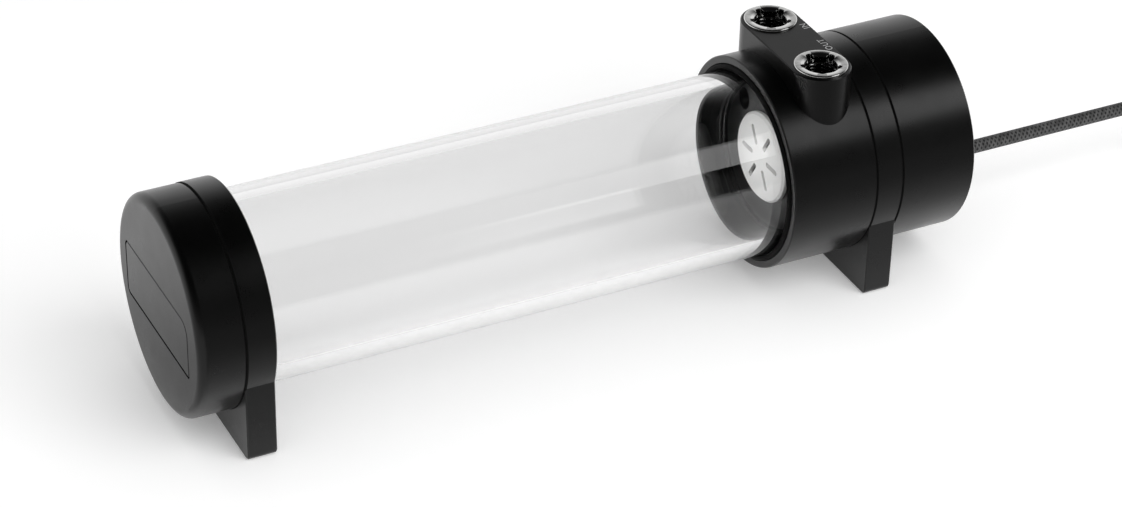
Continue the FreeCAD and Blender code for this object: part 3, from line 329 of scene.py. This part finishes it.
def braid(name):
    """Braided sleeve: the pattern follows X on the straight run and the cable's UV in the coil."""
    material, tree, shader = new_material(name)
    split = node(tree, "SeparateXYZ", {0: node(tree, "TexCoord").outputs["UV"]})
    run = node(tree, "SeparateXYZ", {0: place_of(tree)}).outputs[0]
    coiled = maths(tree, "GREATER_THAN", run, COIL_FROM)
    along = either(tree, coiled, maths(tree, "DIVIDE", run, BRAID_PITCH),
                   maths(tree, "MULTIPLY", split.outputs[0], BRAID_CROSSINGS))
    turns = maths(tree, "MULTIPLY", split.outputs[1], BRAID_STRANDS)
    one = maths(tree, "ADD", along, turns)
    other = maths(tree, "SUBTRACT", along, turns)
    ribs = [maths(tree, "ABSOLUTE", maths(tree, "SINE", maths(tree, "MULTIPLY", way, math.pi)))
            for way in (one, other)]
    cell = maths(tree, "ADD", maths(tree, "FLOOR", one), maths(tree, "FLOOR", other))
    over = maths(tree, "GREATER_THAN", maths(tree, "FRACT", maths(tree, "MULTIPLY", cell, 0.25)), 0.3)
    height = either(tree, over, *ribs)
    threads = noise(tree, BRAID_THREAD, detail=2)
    filled = ranged(tree, maths(tree, "MAXIMUM", *ribs), 0, 1, 0.5, 0.95)
    uneven = ranged(tree, noise(tree, BRAID_PATCH, detail=1), 0.62, 1.12, 0.35, 0.65)
    tone = maths(tree, "MULTIPLY", maths(tree, "MULTIPLY", filled, uneven), ranged(tree, threads, 0.7, 1.15))
    tree.links.new(blended(tree, tone, BRAID_DARK, BRAID_LIGHT), shader.inputs["Base Color"])
    tree.links.new(ranged(tree, threads, 0.5, 0.7), shader.inputs["Roughness"])
    bumped(tree, shader, height, BRAID_DEPTH)
    return material


def laminated(name):
    """Steel sheets stacked along X, with rust-dark gaps between them."""
    material, tree, shader = new_material(name)
    along = node(tree, "SeparateXYZ", {0: place_of(tree)}).outputs[0]
    sheet = maths(tree, "FRACT", maths(tree, "MULTIPLY", along, 1 / SHEET_PITCH))
    gap = maths(tree, "LESS_THAN", sheet, SHEET_GAP)
    dark = maths(tree, "MAXIMUM", gap, ranged(tree, noise(tree, 2 * MM), 0.0, 0.35))
    tree.links.new(blended(tree, dark, (0.36, 0.37, 0.38), (0.05, 0.045, 0.04)), shader.inputs["Base Color"])
    tree.links.new(ranged(tree, noise(tree, 0.5 * MM), 0.3, 0.5), shader.inputs["Roughness"])
    shader.inputs["Metallic"].default_value = 0.9
    bumped(tree, shader, gap, -0.06 * MM)
    return material


def wound(name):
    """Enamelled wire, turn beside turn."""
    material, tree, shader = new_material(name)
    outward = along_and_outward(tree)[1]
    turn = maths(tree, "SINE", maths(tree, "MULTIPLY", outward, math.tau / WIRE_PITCH))
    tree.links.new(blended(tree, ranged(tree, turn, 0, 1, -1, 1), (0.12, 0.03, 0.012), (0.62, 0.22, 0.09)),
                   shader.inputs["Base Color"])
    tree.links.new(ranged(tree, noise(tree, 0.6 * MM), 0.25, 0.4), shader.inputs["Roughness"])
    shader.inputs["Metallic"].default_value = 0.8
    bumped(tree, shader, turn, 0.08 * MM)
    return material


def board(name):
    """Solder mask with tracks; what stands behind the board is the black chip."""
    material, tree, shader = new_material(name)
    place = place_of(tree)
    flat = node(tree, "Mapping", {"Vector": place, "Rotation": (0, math.pi / 2, 0)}).outputs[0]
    tracks = node(tree, "TexBrick", {
        "Vector": flat, "Scale": 1 / BOARD_TRACKS, "Mortar Size": 0.05, "Color1": (0.005, 0.05, 0.018, 1),
        "Color2": (0.006, 0.06, 0.02, 1), "Mortar": (0.02, 0.13, 0.04, 1)}).outputs["Color"]
    along = node(tree, "SeparateXYZ", {0: place}).outputs[0]
    chip = maths(tree, "GREATER_THAN", along, low("controller_board", "x") + BOARD_THICK)
    colour = node(tree, "Mix", {0: chip, 6: tracks, 7: (0.012, 0.012, 0.013, 1)}, data_type="RGBA").outputs[2]
    tree.links.new(colour, shader.inputs["Base Color"])
    tree.links.new(ranged(tree, noise(tree, 1 * MM), 0.3, 0.5), shader.inputs["Roughness"])
    bumped(tree, shader, noise(tree, 0.3 * MM), 0.01 * MM)
    return material


def cast_floor(name):
    """Pale floor; satin surfaces mirror it with painted shade that darkens towards the front, and seen
    through the tube it has a little painted shade behind and painted light in front.
    """
    material, tree, shader = new_material(name)
    patches = noise(tree, FLOOR_PATCH)
    split = node(tree, "SeparateXYZ", {0: place_of(tree)})
    along, back = split.outputs[0], split.outputs[1]
    # Painted shade in the floor that satin surfaces mirror, darker towards the front
    painted_dim = ramped(tree, maths(tree, "DIVIDE", back, -FLOOR_PAINTED_DIM_REACH),
                    [(distance / FLOOR_PAINTED_DIM_REACH, share) for distance, share in FLOOR_PAINTED_DIM])
    beside = maths(tree, "LESS_THAN", along, FLOOR_CAP_END)
    mirrored = either(tree, beside, painted_dim, ranged(tree, back, *FLOOR_CAP_PAINTED_SHARE, *FLOOR_CAP_PAINTED_REACH))
    path = node(tree, "LightPath").outputs
    satin = maths(tree, "SUBTRACT", path["Is Glossy Ray"], path["Is Singular Ray"])
    # Painted light in front and painted shade behind, on the floor as seen through the tube
    through = either(tree, path["Is Transmission Ray"], 1.0,
                     ranged(tree, back, *FLOOR_THROUGH_PAINTED, *FLOOR_THROUGH_PAINTED_REACH))
    share = either(tree, satin, through, mirrored)
    pale = blended(tree, patches, (0.90, 0.90, 0.90), (0.92, 0.92, 0.92))
    tree.links.new(scaled(tree, pale, share), shader.inputs["Base Color"])
    tree.links.new(ranged(tree, noise(tree, FLOOR_GRAIN), 0.75, 0.9), shader.inputs["Roughness"])
    shader.inputs["Specular IOR Level"].default_value = 0.1
    shader.inputs["Emission Color"].default_value = (1, 1, 1, 1)
    # The glow follows the same painted share
    tree.links.new(maths(tree, "MULTIPLY_ADD", share, FLOOR_GLOW - FLOOR_GLOW_LEAST, FLOOR_GLOW_LEAST),
                   shader.inputs["Emission Strength"])
    bumped(tree, shader, patches, 0.1 * MM)
    return material


MATERIALS = {
    "acetal": dull_seams(plain("acetal", BLACK, BLACK_WORN, (0.27, 0.33), grain=0.25 * MM, bump=0.0012 * MM,
                               specular=0.45)),
    "label_finish": plain("label_finish", BLACK, BLACK_WORN, (0.27, 0.32), grain=0.2 * MM, bump=0.0008 * MM),
    "clear_acrylic": clear_plastic("clear_acrylic"),
    "seal_rubber": plain("seal_rubber", (0.0015, 0.0015, 0.0015), (0.003, 0.003, 0.003), (0.6, 0.75),
                         specular=0.12),
    # The inserts' nickel carries painted shade, darker down in the threads
    "nickel": painted_shade_below(plain("nickel", (0.66, 0.66, 0.65), (0.80, 0.80, 0.79), (0.08, 0.16), metallic=1.0,
                                 grain=1.8 * MM, bump=0.05 * MM), *THREAD_PAINTED_SHADE),
    "pale_plastic": plain("pale_plastic", (0.80, 0.80, 0.79), (0.86, 0.86, 0.85), (0.4, 0.55)),
    "pump_plastic": plain("pump_plastic", (0.010, 0.010, 0.010), (0.022, 0.022, 0.022), (0.4, 0.6)),
    "ceramic": plain("ceramic", (0.80, 0.79, 0.76), (0.88, 0.87, 0.85), (0.1, 0.2)),
    "magnet": plain("magnet", (0.04, 0.04, 0.043), (0.07, 0.07, 0.073), (0.45, 0.6), metallic=0.4),
    "laminations": laminated("laminations"),
    "copper": wound("copper"),
    "circuit_board": board("circuit_board"),
    "can_metal": plain("can_metal", (0.50, 0.50, 0.51), (0.60, 0.60, 0.61), (0.25, 0.38), metallic=1.0),
    "screw_steel": plain("screw_steel", (0.03, 0.03, 0.032), (0.06, 0.06, 0.062), (0.3, 0.45), metallic=0.9),
    "cable_sleeve": braid("cable_sleeve"),
    "connector_plastic": plain("connector_plastic", (0.010, 0.010, 0.010), (0.018, 0.018, 0.018),
                               (0.35, 0.5)),
    "contact_metal": plain("contact_metal", (0.70, 0.66, 0.55), (0.80, 0.76, 0.64), (0.2, 0.32),
                           metallic=1.0),
    "print_ink": plain("print_ink", (0.30, 0.30, 0.30), (0.42, 0.42, 0.42), (0.5, 0.6)),
}


def finish_nodes():
    """Every CAD node gets the material of its slot."""
    for made in NODES.values():
        made.material_slots[0].material = MATERIALS[SLOTS[made.name]]


# Meshes

ROUND_STEPS = 192


def piece(name, vertices, faces, slot):
    """A smooth mesh object with its material, in the row's frame."""
    mesh = bpy.data.meshes.new(name)
    mesh.from_pydata(vertices, [], faces)
    mesh.validate()
    mesh.polygons.foreach_set("use_smooth", [True] * len(mesh.polygons))
    mesh.materials.append(MATERIALS[slot])
    made = bpy.data.objects.new(name, mesh)
    bpy.context.scene.collection.objects.link(made)
    return made


def rings(count, steps, closed_profile=True):
    """Faces between rings of points; the last ring joins the first if the profile is closed."""
    faces = []
    for ring in range(count if closed_profile else count - 1):
        here, there = ring * steps, (ring + 1) % count * steps
        for step in range(steps):
            turn = (step + 1) % steps
            faces.append((here + step, here + turn, there + turn, there + step))
    return faces


def lathe(name, profile, slot, height=AXIS, steps=ROUND_STEPS):
    """Turns a closed profile of (x, radius) round a line along X at a height."""
    vertices = []
    for x, radius in profile:
        for step in range(steps):
            angle = math.tau * step / steps
            vertices.append((x, radius * math.cos(angle), height + radius * math.sin(angle)))
    return piece(name, vertices, rings(len(profile), steps), slot)


def sharpen(made, degrees=28):
    """Edges sharper than this stay sharp under smooth shading."""
    made.data.set_sharp_from_angle(angle=math.radians(degrees))
    return made


# Clear tube

TUBE_BEVEL = 0.5 * MM


def clear_tube():
    """The clear tube with its bevelled ends."""
    inner = TUBE_RADIUS - TUBE_WALL
    profile = [
        (TUBE_START, inner + TUBE_BEVEL), (TUBE_START, TUBE_RADIUS - TUBE_BEVEL),
        (TUBE_START + TUBE_BEVEL, TUBE_RADIUS), (TUBE_END - TUBE_BEVEL, TUBE_RADIUS),
        (TUBE_END, TUBE_RADIUS - TUBE_BEVEL), (TUBE_END, inner + TUBE_BEVEL),
        (TUBE_END - TUBE_BEVEL, inner), (TUBE_START + TUBE_BEVEL, inner)]
    made = sharpen(lathe("clear_tube", profile, "clear_acrylic"))
    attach(made, "reservoir")
    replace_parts(made, "reservoir_tube")


# Mouth seal

SEAL_GAP = 0.03 * MM
# Rounded front: its place, how far it is rounded back, and its inset from both walls
SEAL_FRONT = LIP - 0.8 * MM
SEAL_ROUND = 0.7 * MM
SEAL_INSET = 0.2 * MM
SEAL_STEPS = 8
# Where the walls start, behind the front
SEAL_INNER_EDGE = 0.3 * MM
SEAL_OUTER_EDGE = 1.6 * MM


def mouth_seal():
    """Rubber ring round the tube in the housing's mouth, its rounded front just proud of the lip."""
    inner, outer, back = TUBE_RADIUS + SEAL_GAP, high("tube_seal", "y"), high("tube_seal", "x")
    half = (outer - inner) / 2 - SEAL_INSET
    profile = [(back, inner), (SEAL_FRONT + SEAL_INNER_EDGE, inner)]
    for step in range(SEAL_STEPS + 1):
        turn = math.pi * step / SEAL_STEPS
        profile.append((SEAL_FRONT + SEAL_ROUND * (1 - math.sin(turn)),
                        inner + SEAL_INSET + half * (1 - math.cos(turn))))
    profile += [(SEAL_FRONT + SEAL_OUTER_EDGE, outer), (back, outer)]
    made = sharpen(lathe("mouth_seal", profile, "seal_rubber"), degrees=50)
    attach(made, "reservoir")
    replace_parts(made, "tube_seal")


# Label plate

# Rounding of each corner, from the lower one at -Y anticlockwise as seen from +X
PLATE_CORNERS = (1.0 * MM, 2.4 * MM, 2.4 * MM, 5.0 * MM)
PLATE_ROUND_STEPS = 10
# Bevel, and how it softens into the face
PLATE_BEVEL = 0.35 * MM
PLATE_SOFT_DEPTH = 0.08 * MM
PLATE_SOFT_REACH = 0.05 * MM
# Inset of the whole plate, which widens the groove round it
PLATE_ROOM = 0.12 * MM


def plate_outline(inward):
    """Points (y, z) round the label plate, set in from its edge."""
    y_low, y_high = low("label_plate", "y") + inward, high("label_plate", "y") - inward
    z_low, z_high = low("label_plate", "z") + inward, high("label_plate", "z") - inward
    points = []
    for index, (y, z, y_way, z_way) in enumerate(((y_low, z_low, 1, 1), (y_high, z_low, -1, 1),
                                                  (y_high, z_high, -1, -1), (y_low, z_high, 1, -1))):
        radius = PLATE_CORNERS[index] - inward
        for step in range(PLATE_ROUND_STEPS + 1):
            angle = math.pi * (1 + index / 2) + math.pi / 2 * step / PLATE_ROUND_STEPS
            points.append((y + y_way * radius + radius * math.cos(angle),
                           z + z_way * radius + radius * math.sin(angle)))
    return points


def label_plate():
    """Bare plate in the cap's face, its edge bevelled towards the groove round it."""
    front, back = low("label_plate", "x"), high("label_plate", "x")
    rows = [(back, 0.0), (front + PLATE_BEVEL, 0.0),
            (front + PLATE_SOFT_DEPTH, PLATE_BEVEL - PLATE_SOFT_DEPTH),
            (front, PLATE_BEVEL + PLATE_SOFT_REACH)]
    vertices = [(x, y, z) for x, inward in rows for y, z in plate_outline(PLATE_ROOM + inward)]
    steps = len(vertices) // len(rows)
    faces = [tuple(reversed(face)) for face in rings(len(rows), steps, closed_profile=False)]
    faces += [tuple(range(steps)), tuple(reversed(range(len(vertices) - steps, len(vertices))))]
    made = sharpen(piece("bevelled_plate", vertices, faces, "label_finish"))
    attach(made, "cap")
    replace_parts(made, "label_plate")


# Port inserts: the G1/4 thread cut as a real helix, with the driving notches in the rim

THREAD_PITCH = 1.337 * MM
THREAD_MAJOR = 13.157 * MM / 2
THREAD_MINOR = 11.445 * MM / 2
# Share of the pitch that stays flat at the crest and at the root, and how the thread deepens below the mouth
THREAD_FLAT = 0.12
THREAD_FADE = 0.8 * THREAD_PITCH
# Steps round the hole, and rows for each turn of the thread
THREAD_STEPS = 200
THREAD_ROWS = 8
# Skin: rounding of the rim and bevel of the foot
RIM_ROUND = 0.45 * MM
RIM_STEPS = 6
FOOT_BEVEL = 0.4 * MM
# Mouth: radii of the rim and of the cone's foot, and the depths of that foot and of the mouth's end
RIM_INSIDE = 7.0 * MM
CONE_FOOT = 6.4 * MM
CONE_DEPTH = 0.28 * MM
MOUTH_DEPTH = 0.85 * MM
# Notches: radius, distance from the axis, depth, drop of their floor, flare at the rim, count and turn
NOTCH_RADIUS = 1.4 * MM
NOTCH_MIDDLE = 5.85 * MM
NOTCH_DEPTH = 3.0 * MM
NOTCH_STEP = 0.02 * MM
NOTCH_FLARE = 0.1 * MM
NOTCH_COUNT = 5
NOTCH_TURN = math.radians(27)


def thread_radius(down, angle):
    """Radius of the female thread at a depth below the rim; it fades in below the mouth."""
    turn = (down / THREAD_PITCH + angle / math.tau) % 1
    flank = min(turn, 1 - turn) * 2
    depth = min(max((flank - THREAD_FLAT) / (1 - 2 * THREAD_FLAT), 0), 1)
    fade = min(max((down - MOUTH_DEPTH) / THREAD_FADE, 0), 1)
    return THREAD_MINOR + (THREAD_MAJOR - THREAD_MINOR) * depth * fade


def notch_reach(angle):
    """How far the rim's opening reaches from the axis at an angle, notches included."""
    reach = THREAD_MINOR
    for index in range(NOTCH_COUNT):
        away = angle - NOTCH_TURN - math.tau * index / NOTCH_COUNT
        across = NOTCH_MIDDLE * math.sin(away)
        if math.cos(away) > 0 and abs(across) < NOTCH_RADIUS:
            reach = max(reach, NOTCH_MIDDLE * math.cos(away) + math.sqrt(NOTCH_RADIUS ** 2 - across ** 2))
    return reach


def port_insert(name, side):
    """One insert: outer skin, bevelled rim, notches down to their floor, then the thread."""
    length = INSERT_TOP - INSERT_BOTTOM
    outside = [(-length, INSERT_RADIUS - FOOT_BEVEL), (-length + FOOT_BEVEL, INSERT_RADIUS)]
    for step in range(RIM_STEPS + 1):
        turn = math.pi / 2 * step / RIM_STEPS
        outside.append((RIM_ROUND * (math.sin(turn) - 1), INSERT_RADIUS + RIM_ROUND * (math.cos(turn) - 1)))
    depths = [NOTCH_DEPTH + NOTCH_STEP]
    while depths[-1] < length:
        depths.append(min(depths[-1] + THREAD_PITCH / THREAD_ROWS, length))
    rows = [[(height, radius)] * THREAD_STEPS for height, radius in outside]
    angles = [math.tau * step / THREAD_STEPS for step in range(THREAD_STEPS)]
    reaches = [notch_reach(angle) for angle in angles]
    rows.append([(0, max(reach + NOTCH_FLARE, RIM_INSIDE)) for reach in reaches])
    rows.append([(-CONE_DEPTH, max(reach + NOTCH_FLARE / 2, CONE_FOOT)) for reach in reaches])
    rows += [[(-down, reach) for reach in reaches] for down in (MOUTH_DEPTH, NOTCH_DEPTH)]
    rows += [[(-down, thread_radius(down, angle)) for angle in angles] for down in depths]
    vertices = [(PORT_X + radius * math.cos(angle), side + radius * math.sin(angle), INSERT_TOP + height)
                for row in rows for angle, (height, radius) in zip(angles, row)]
    made = sharpen(piece(name, vertices, rings(len(rows), THREAD_STEPS), "nickel"))
    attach(made, "reservoir")
    return made


def port_inserts():
    """Both inserts in place of the CAD model's."""
    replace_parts(port_insert("threaded_insert_in", PORT_SIDE), "port_insert_in")
    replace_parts(port_insert("threaded_insert_out", -PORT_SIDE), "port_insert_out")


# Words beside the ports

# Size, distance along X, each word's middle, spacing of its letters, and thickness of the ink
WORD_SIZE = 3.4 * MM
WORD_PLACE = PORT_X + 8.4 * MM
WORD_SIDES = {"IN": 8.2 * MM, "OUT": -5.8 * MM}
WORD_SPACING = 1.15
WORD_LIFT = 0.03 * MM


def port_words():
    """The ports' two words, printed on the boss and read from the pump's side."""
    for word, side in WORD_SIDES.items():
        name = "word_" + word.lower()
        data = bpy.data.curves.new(name, "FONT")
        data.body = word
        data.size = WORD_SIZE
        data.align_x = data.align_y = "CENTER"
        data.space_character = WORD_SPACING
        data.extrude = WORD_LIFT / 2
        written = bpy.data.objects.new(name, data)
        bpy.context.scene.collection.objects.link(written)
        depsgraph = bpy.context.evaluated_depsgraph_get()
        mesh = bpy.data.meshes.new_from_object(written.evaluated_get(depsgraph))
        bpy.data.objects.remove(written)
        mesh.materials.clear()
        mesh.materials.append(MATERIALS["print_ink"])
        made = bpy.data.objects.new(name + "_print", mesh)
        turned = Matrix.Rotation(math.pi / 2, 4, "Z")
        made.matrix_world = Matrix.Translation((WORD_PLACE, side, BOSS_TOP)) @ turned
        bpy.context.scene.collection.objects.link(made)
        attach(made, "reservoir")


# Strain relief: a soft sleeve with ring grooves, in place of the CAD model's plain taper

# Radii where it passes the cover's wall, at its end, and inside
RELIEF_NECK = 3.7 * MM
RELIEF_TIP = 3.2 * MM
RELIEF_BORE = 2.6 * MM
# Flange inside the cover: its thickness and the slant of its edge
RELIEF_FLANGE = 1.4 * MM
RELIEF_SLANT = 0.05 * MM
# Gap to the cover's rear face, edge beside it, and length of the edge at the end
RELIEF_LIFT = 0.02 * MM
RELIEF_EDGE = 0.3 * MM
RELIEF_END_EDGE = 0.4 * MM
RELIEF_STEPS = 64
# Grooves: the plain stretches before the first and after the last, their count and their depth
GROOVES_FROM = 2.2 * MM
GROOVES_TO = 1.2 * MM
GROOVE_COUNT = 5
GROOVE_DEPTH = 0.55 * MM
# One groove and the rib after it: share of the pitch, share of the depth
GROOVE_SHAPE = ((0, 0), (0.08, 1), (0.42, 1), (0.5, 0), (0.99, 0))


def strain_relief():
    """Tapered rubber sleeve with ring grooves."""
    start, end = low("cable_relief", "x"), high("cable_relief", "x")
    root = (high("cable_relief", "y") - low("cable_relief", "y")) / 2
    profile = [(start, RELIEF_BORE), (start, root), (start + RELIEF_FLANGE, root),
               (start + RELIEF_FLANGE + RELIEF_SLANT, RELIEF_NECK), (REAR_FACE, RELIEF_NECK),
               (REAR_FACE + RELIEF_LIFT, root - RELIEF_EDGE), (REAR_FACE + RELIEF_EDGE, root)]
    first, last = REAR_FACE + GROOVES_FROM, end - GROOVES_TO
    pitch = (last - first) / GROOVE_COUNT
    taper = (root - RELIEF_TIP) / (end - REAR_FACE)
    for index in range(GROOVE_COUNT):
        for share, deep in GROOVE_SHAPE:
            x = first + (index + share) * pitch
            profile.append((x, root - taper * (x - REAR_FACE) - deep * GROOVE_DEPTH))
    profile += [(end - RELIEF_END_EDGE, RELIEF_TIP), (end, RELIEF_TIP - RELIEF_EDGE), (end, RELIEF_BORE)]
    made = sharpen(lathe("strain_relief", profile, "seal_rubber", CABLE_Z, RELIEF_STEPS), degrees=40)
    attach(made, "reservoir")
    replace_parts(made, "cable_relief")
    return made


# Cable: the CAD model's route with one more point on its straight run, then the coil and the last bend

CABLE_ROUTE = [
    (141.9 * MM, 0.0, CABLE_Z),
    (224.0 * MM, 0.0, CABLE_Z),
    (243.0 * MM, 0.0, CABLE_Z),
    (270.0 * MM, 0.0, CABLE_RADIUS),
    (289.0 * MM, -3.6 * MM, CABLE_RADIUS),
]
# Coil: middle, radius of its first turn, angle where it starts, points in a turn and in all
COIL_MIDDLE = (299.0 * MM, -33.0 * MM)
COIL_RADIUS = 30.0 * MM
COIL_FIRST_ANGLE = math.radians(86)
COIL_TURN_POINTS = 16
COIL_POINTS = 24
# Bend from the coil's inside to the connector
CABLE_END = [
    (294.9 * MM, -55.1 * MM, CABLE_RADIUS),
    (288.8 * MM, -53.2 * MM, CABLE_RADIUS),
    (284.7 * MM, -48.9 * MM, CABLE_RADIUS),
    (283.2 * MM, -43.2 * MM, CABLE_RADIUS),
    (284.8 * MM, -37.6 * MM, CABLE_RADIUS),
    (286.87 * MM, -35.53 * MM, CABLE_RADIUS),
]
# Steps round the section and along each span
CABLE_SECTION_STEPS = 6
CABLE_SPAN_STEPS = 16


def cable_points():
    """Control points of the whole cable: route, clockwise turns that close in by a diameter each, end."""
    coil = []
    for index in range(COIL_POINTS):
        turned = index / COIL_TURN_POINTS
        angle = COIL_FIRST_ANGLE - math.tau * turned
        radius = COIL_RADIUS - 2 * CABLE_RADIUS * turned
        coil.append((COIL_MIDDLE[0] + radius * math.cos(angle), COIL_MIDDLE[1] + radius * math.sin(angle),
                     CABLE_RADIUS))
    return CABLE_ROUTE + coil + CABLE_END


def cable(relief):
    """The braided cable as one NURBS spline, with the strain relief and the connector on it."""
    data = bpy.data.curves.new("cable", "CURVE")
    data.dimensions = "3D"
    data.bevel_depth = CABLE_RADIUS
    data.bevel_resolution = CABLE_SECTION_STEPS
    data.use_fill_caps = True
    points = cable_points()
    spline = data.splines.new("NURBS")
    spline.points.add(len(points) - 1)
    for point, place in zip(spline.points, points):
        point.co = (*place, 1)
    spline.order_u = 3
    spline.use_endpoint_u = True
    spline.resolution_u = CABLE_SPAN_STEPS
    made = bpy.data.objects.new("cable", data)
    made.data.materials.append(MATERIALS["cable_sleeve"])
    bpy.context.scene.collection.objects.link(made)
    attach(made, "reservoir")
    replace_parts(made, "pump_cable", "cable_coil", "cable_tail")


# Floor and light

FLOOR_SIZE = 8
FLOOR_CELLS = 8

# World's brightness by the rise of a direction, in front and behind, and where one becomes the other
BRIGHTEST = 1.2
FRONT = [(-1, 0.5), (-0.02, 0.3), (0.02, 0.13), (0.25, 0.12), (0.5, 0.01), (1, 0.005)]
BEHIND = [(-1, 1.0), (0, 0.95), (0.32, 0.88), (0.5, 0.5), (0.6, 0.22), (0.7, 0.05), (0.8, 0.01), (1, 0.005)]
FRONT_TO_BEHIND = (-0.25, 0.25)
# World's brightness for the floor and other matt surfaces
OPEN_LIGHT = 0.68

# Long soft box above the front, which only shows in glossy surfaces and fades towards the cap:
# place, size along and across, tilt, brightness, and how far it takes to fade
FRONT_BOX = ((0.90, -0.898, 1.051), (1.00, 0.71), math.radians(41.7), 2.3, 0.4)
# Lamp above the front, which only gives the floor its shadows: place, size, power
KEY = ((0.35, -1.1, 1.05), (1.3, 1.3), 15.0)
# Strainer's lamp: place, radius, width of its patch of light, softness of that patch's edge, power
STRAINER_LAMP = ((-0.35, -0.12, 0.28), 0.02, 0.036, 0.4, 11.0)


def make_floor():
    """Plain pale floor."""
    bpy.ops.mesh.primitive_grid_add(x_subdivisions=FLOOR_CELLS, y_subdivisions=FLOOR_CELLS, size=FLOOR_SIZE)
    floor = bpy.context.object
    floor.name = "floor"
    floor.data.materials.append(cast_floor("floor"))


def graded(tree, value, stops):
    """A brightness read off stops of (value, brightness); values run from -1 to 1."""
    shares = [(rise / 2 + 0.5, brightness / BRIGHTEST) for rise, brightness in stops]
    share = ramped(tree, maths(tree, "MULTIPLY_ADD", value, 0.5, 0.5), shares)
    return maths(tree, "MULTIPLY", share, BRIGHTEST)


def make_room():
    """A dark room with a bright backdrop; matt surfaces, above all the floor, are lit from all round."""
    world = bpy.data.worlds.new("room")
    world.use_nodes = True
    tree = world.node_tree
    direction = node(tree, "SeparateXYZ", {0: node(tree, "TexCoord").outputs["Generated"]}).outputs
    back, up = direction[1], direction[2]
    mirrored = either(tree, ranged(tree, back, 0, 1, *FRONT_TO_BEHIND), graded(tree, up, FRONT),
                      graded(tree, up, BEHIND))
    path = node(tree, "LightPath").outputs
    matt = maths(tree, "GREATER_THAN", path["Diffuse Depth"], 0.5)
    met = either(tree, matt, mirrored, OPEN_LIGHT)
    background = tree.nodes["Background"]
    tree.links.new(either(tree, path["Is Camera Ray"], met, 1.0), background.inputs["Strength"])
    background.inputs["Color"].default_value = (1, 1, 1, 1)
    world.cycles.sampling_method = "NONE"
    bpy.context.scene.world = world
    bpy.context.scene.view_settings.view_transform = "Standard"


def soft_box():
    """Glowing panel that glossy surfaces mirror."""
    place, (along, across), tilt, brightness, fade = FRONT_BOX
    material = bpy.data.materials.new("soft_box")
    material.use_nodes = True
    tree = material.node_tree
    tree.nodes.clear()
    side = node(tree, "SeparateXYZ", {0: place_of(tree)}).outputs[0]
    strength = node(tree, "MapRange", {0: side, 1: -along / 2, 2: -along / 2 + fade, 3: 0.0, 4: brightness},
                    interpolation_type="SMOOTHSTEP").outputs[0]
    glow = node(tree, "Emission", {"Strength": strength})
    tree.links.new(glow.outputs[0], node(tree, "OutputMaterial").inputs["Surface"])
    mesh = bpy.data.meshes.new("soft_box")
    corners = [(x * along / 2, y * across / 2, 0) for x, y in ((-1, -1), (1, -1), (1, 1), (-1, 1))]
    mesh.from_pydata(corners, [], [(0, 1, 2, 3)])
    mesh.materials.append(material)
    box = bpy.data.objects.new("soft_box", mesh)
    box.location = place
    box.rotation_euler = (tilt, 0, 0)
    box.visible_camera = box.visible_diffuse = box.visible_shadow = False
    bpy.context.scene.collection.objects.link(box)


def hang(name, data, place, way):
    """Hangs a lamp that shines one way, and that neither mirrors nor the clear tube show."""
    lamp = bpy.data.objects.new(name, data)
    lamp.location = place
    lamp.rotation_euler = way.to_track_quat("-Z", "Y").to_euler()
    lamp.visible_glossy = lamp.visible_transmission = False
    bpy.context.scene.collection.objects.link(lamp)


def key_lamp():
    """Large soft lamp that gives the floor its shadows."""
    place, size, power = KEY
    data = bpy.data.lights.new("key", "AREA")
    data.shape = "RECTANGLE"
    data.size, data.size_y = size
    data.energy = power
    hang("key", data, place, -Vector(place))


def strainer_lamp():
    """Narrow lamp that shines on the strainer through the clear tube."""
    place, radius, width, softness, power = STRAINER_LAMP
    way = Vector((low("inlet_strainer", "x"), 0, AXIS)) - Vector(place)
    data = bpy.data.lights.new("strainer_lamp", "SPOT")
    data.spot_size = 2 * math.atan(width / 2 / way.length)
    data.spot_blend = softness
    data.shadow_soft_size = radius
    data.energy = power
    hang("strainer_lamp", data, place, way)


def make_light():
    """The room, the soft box, the key light and the strainer's lamp."""
    make_room()
    soft_box()
    key_lamp()
    strainer_lamp()


# Scene

make_camera()
finish_nodes()
clear_tube()
mouth_seal()
label_plate()
port_inserts()
port_words()
cable(strain_relief())
make_floor()
make_light()
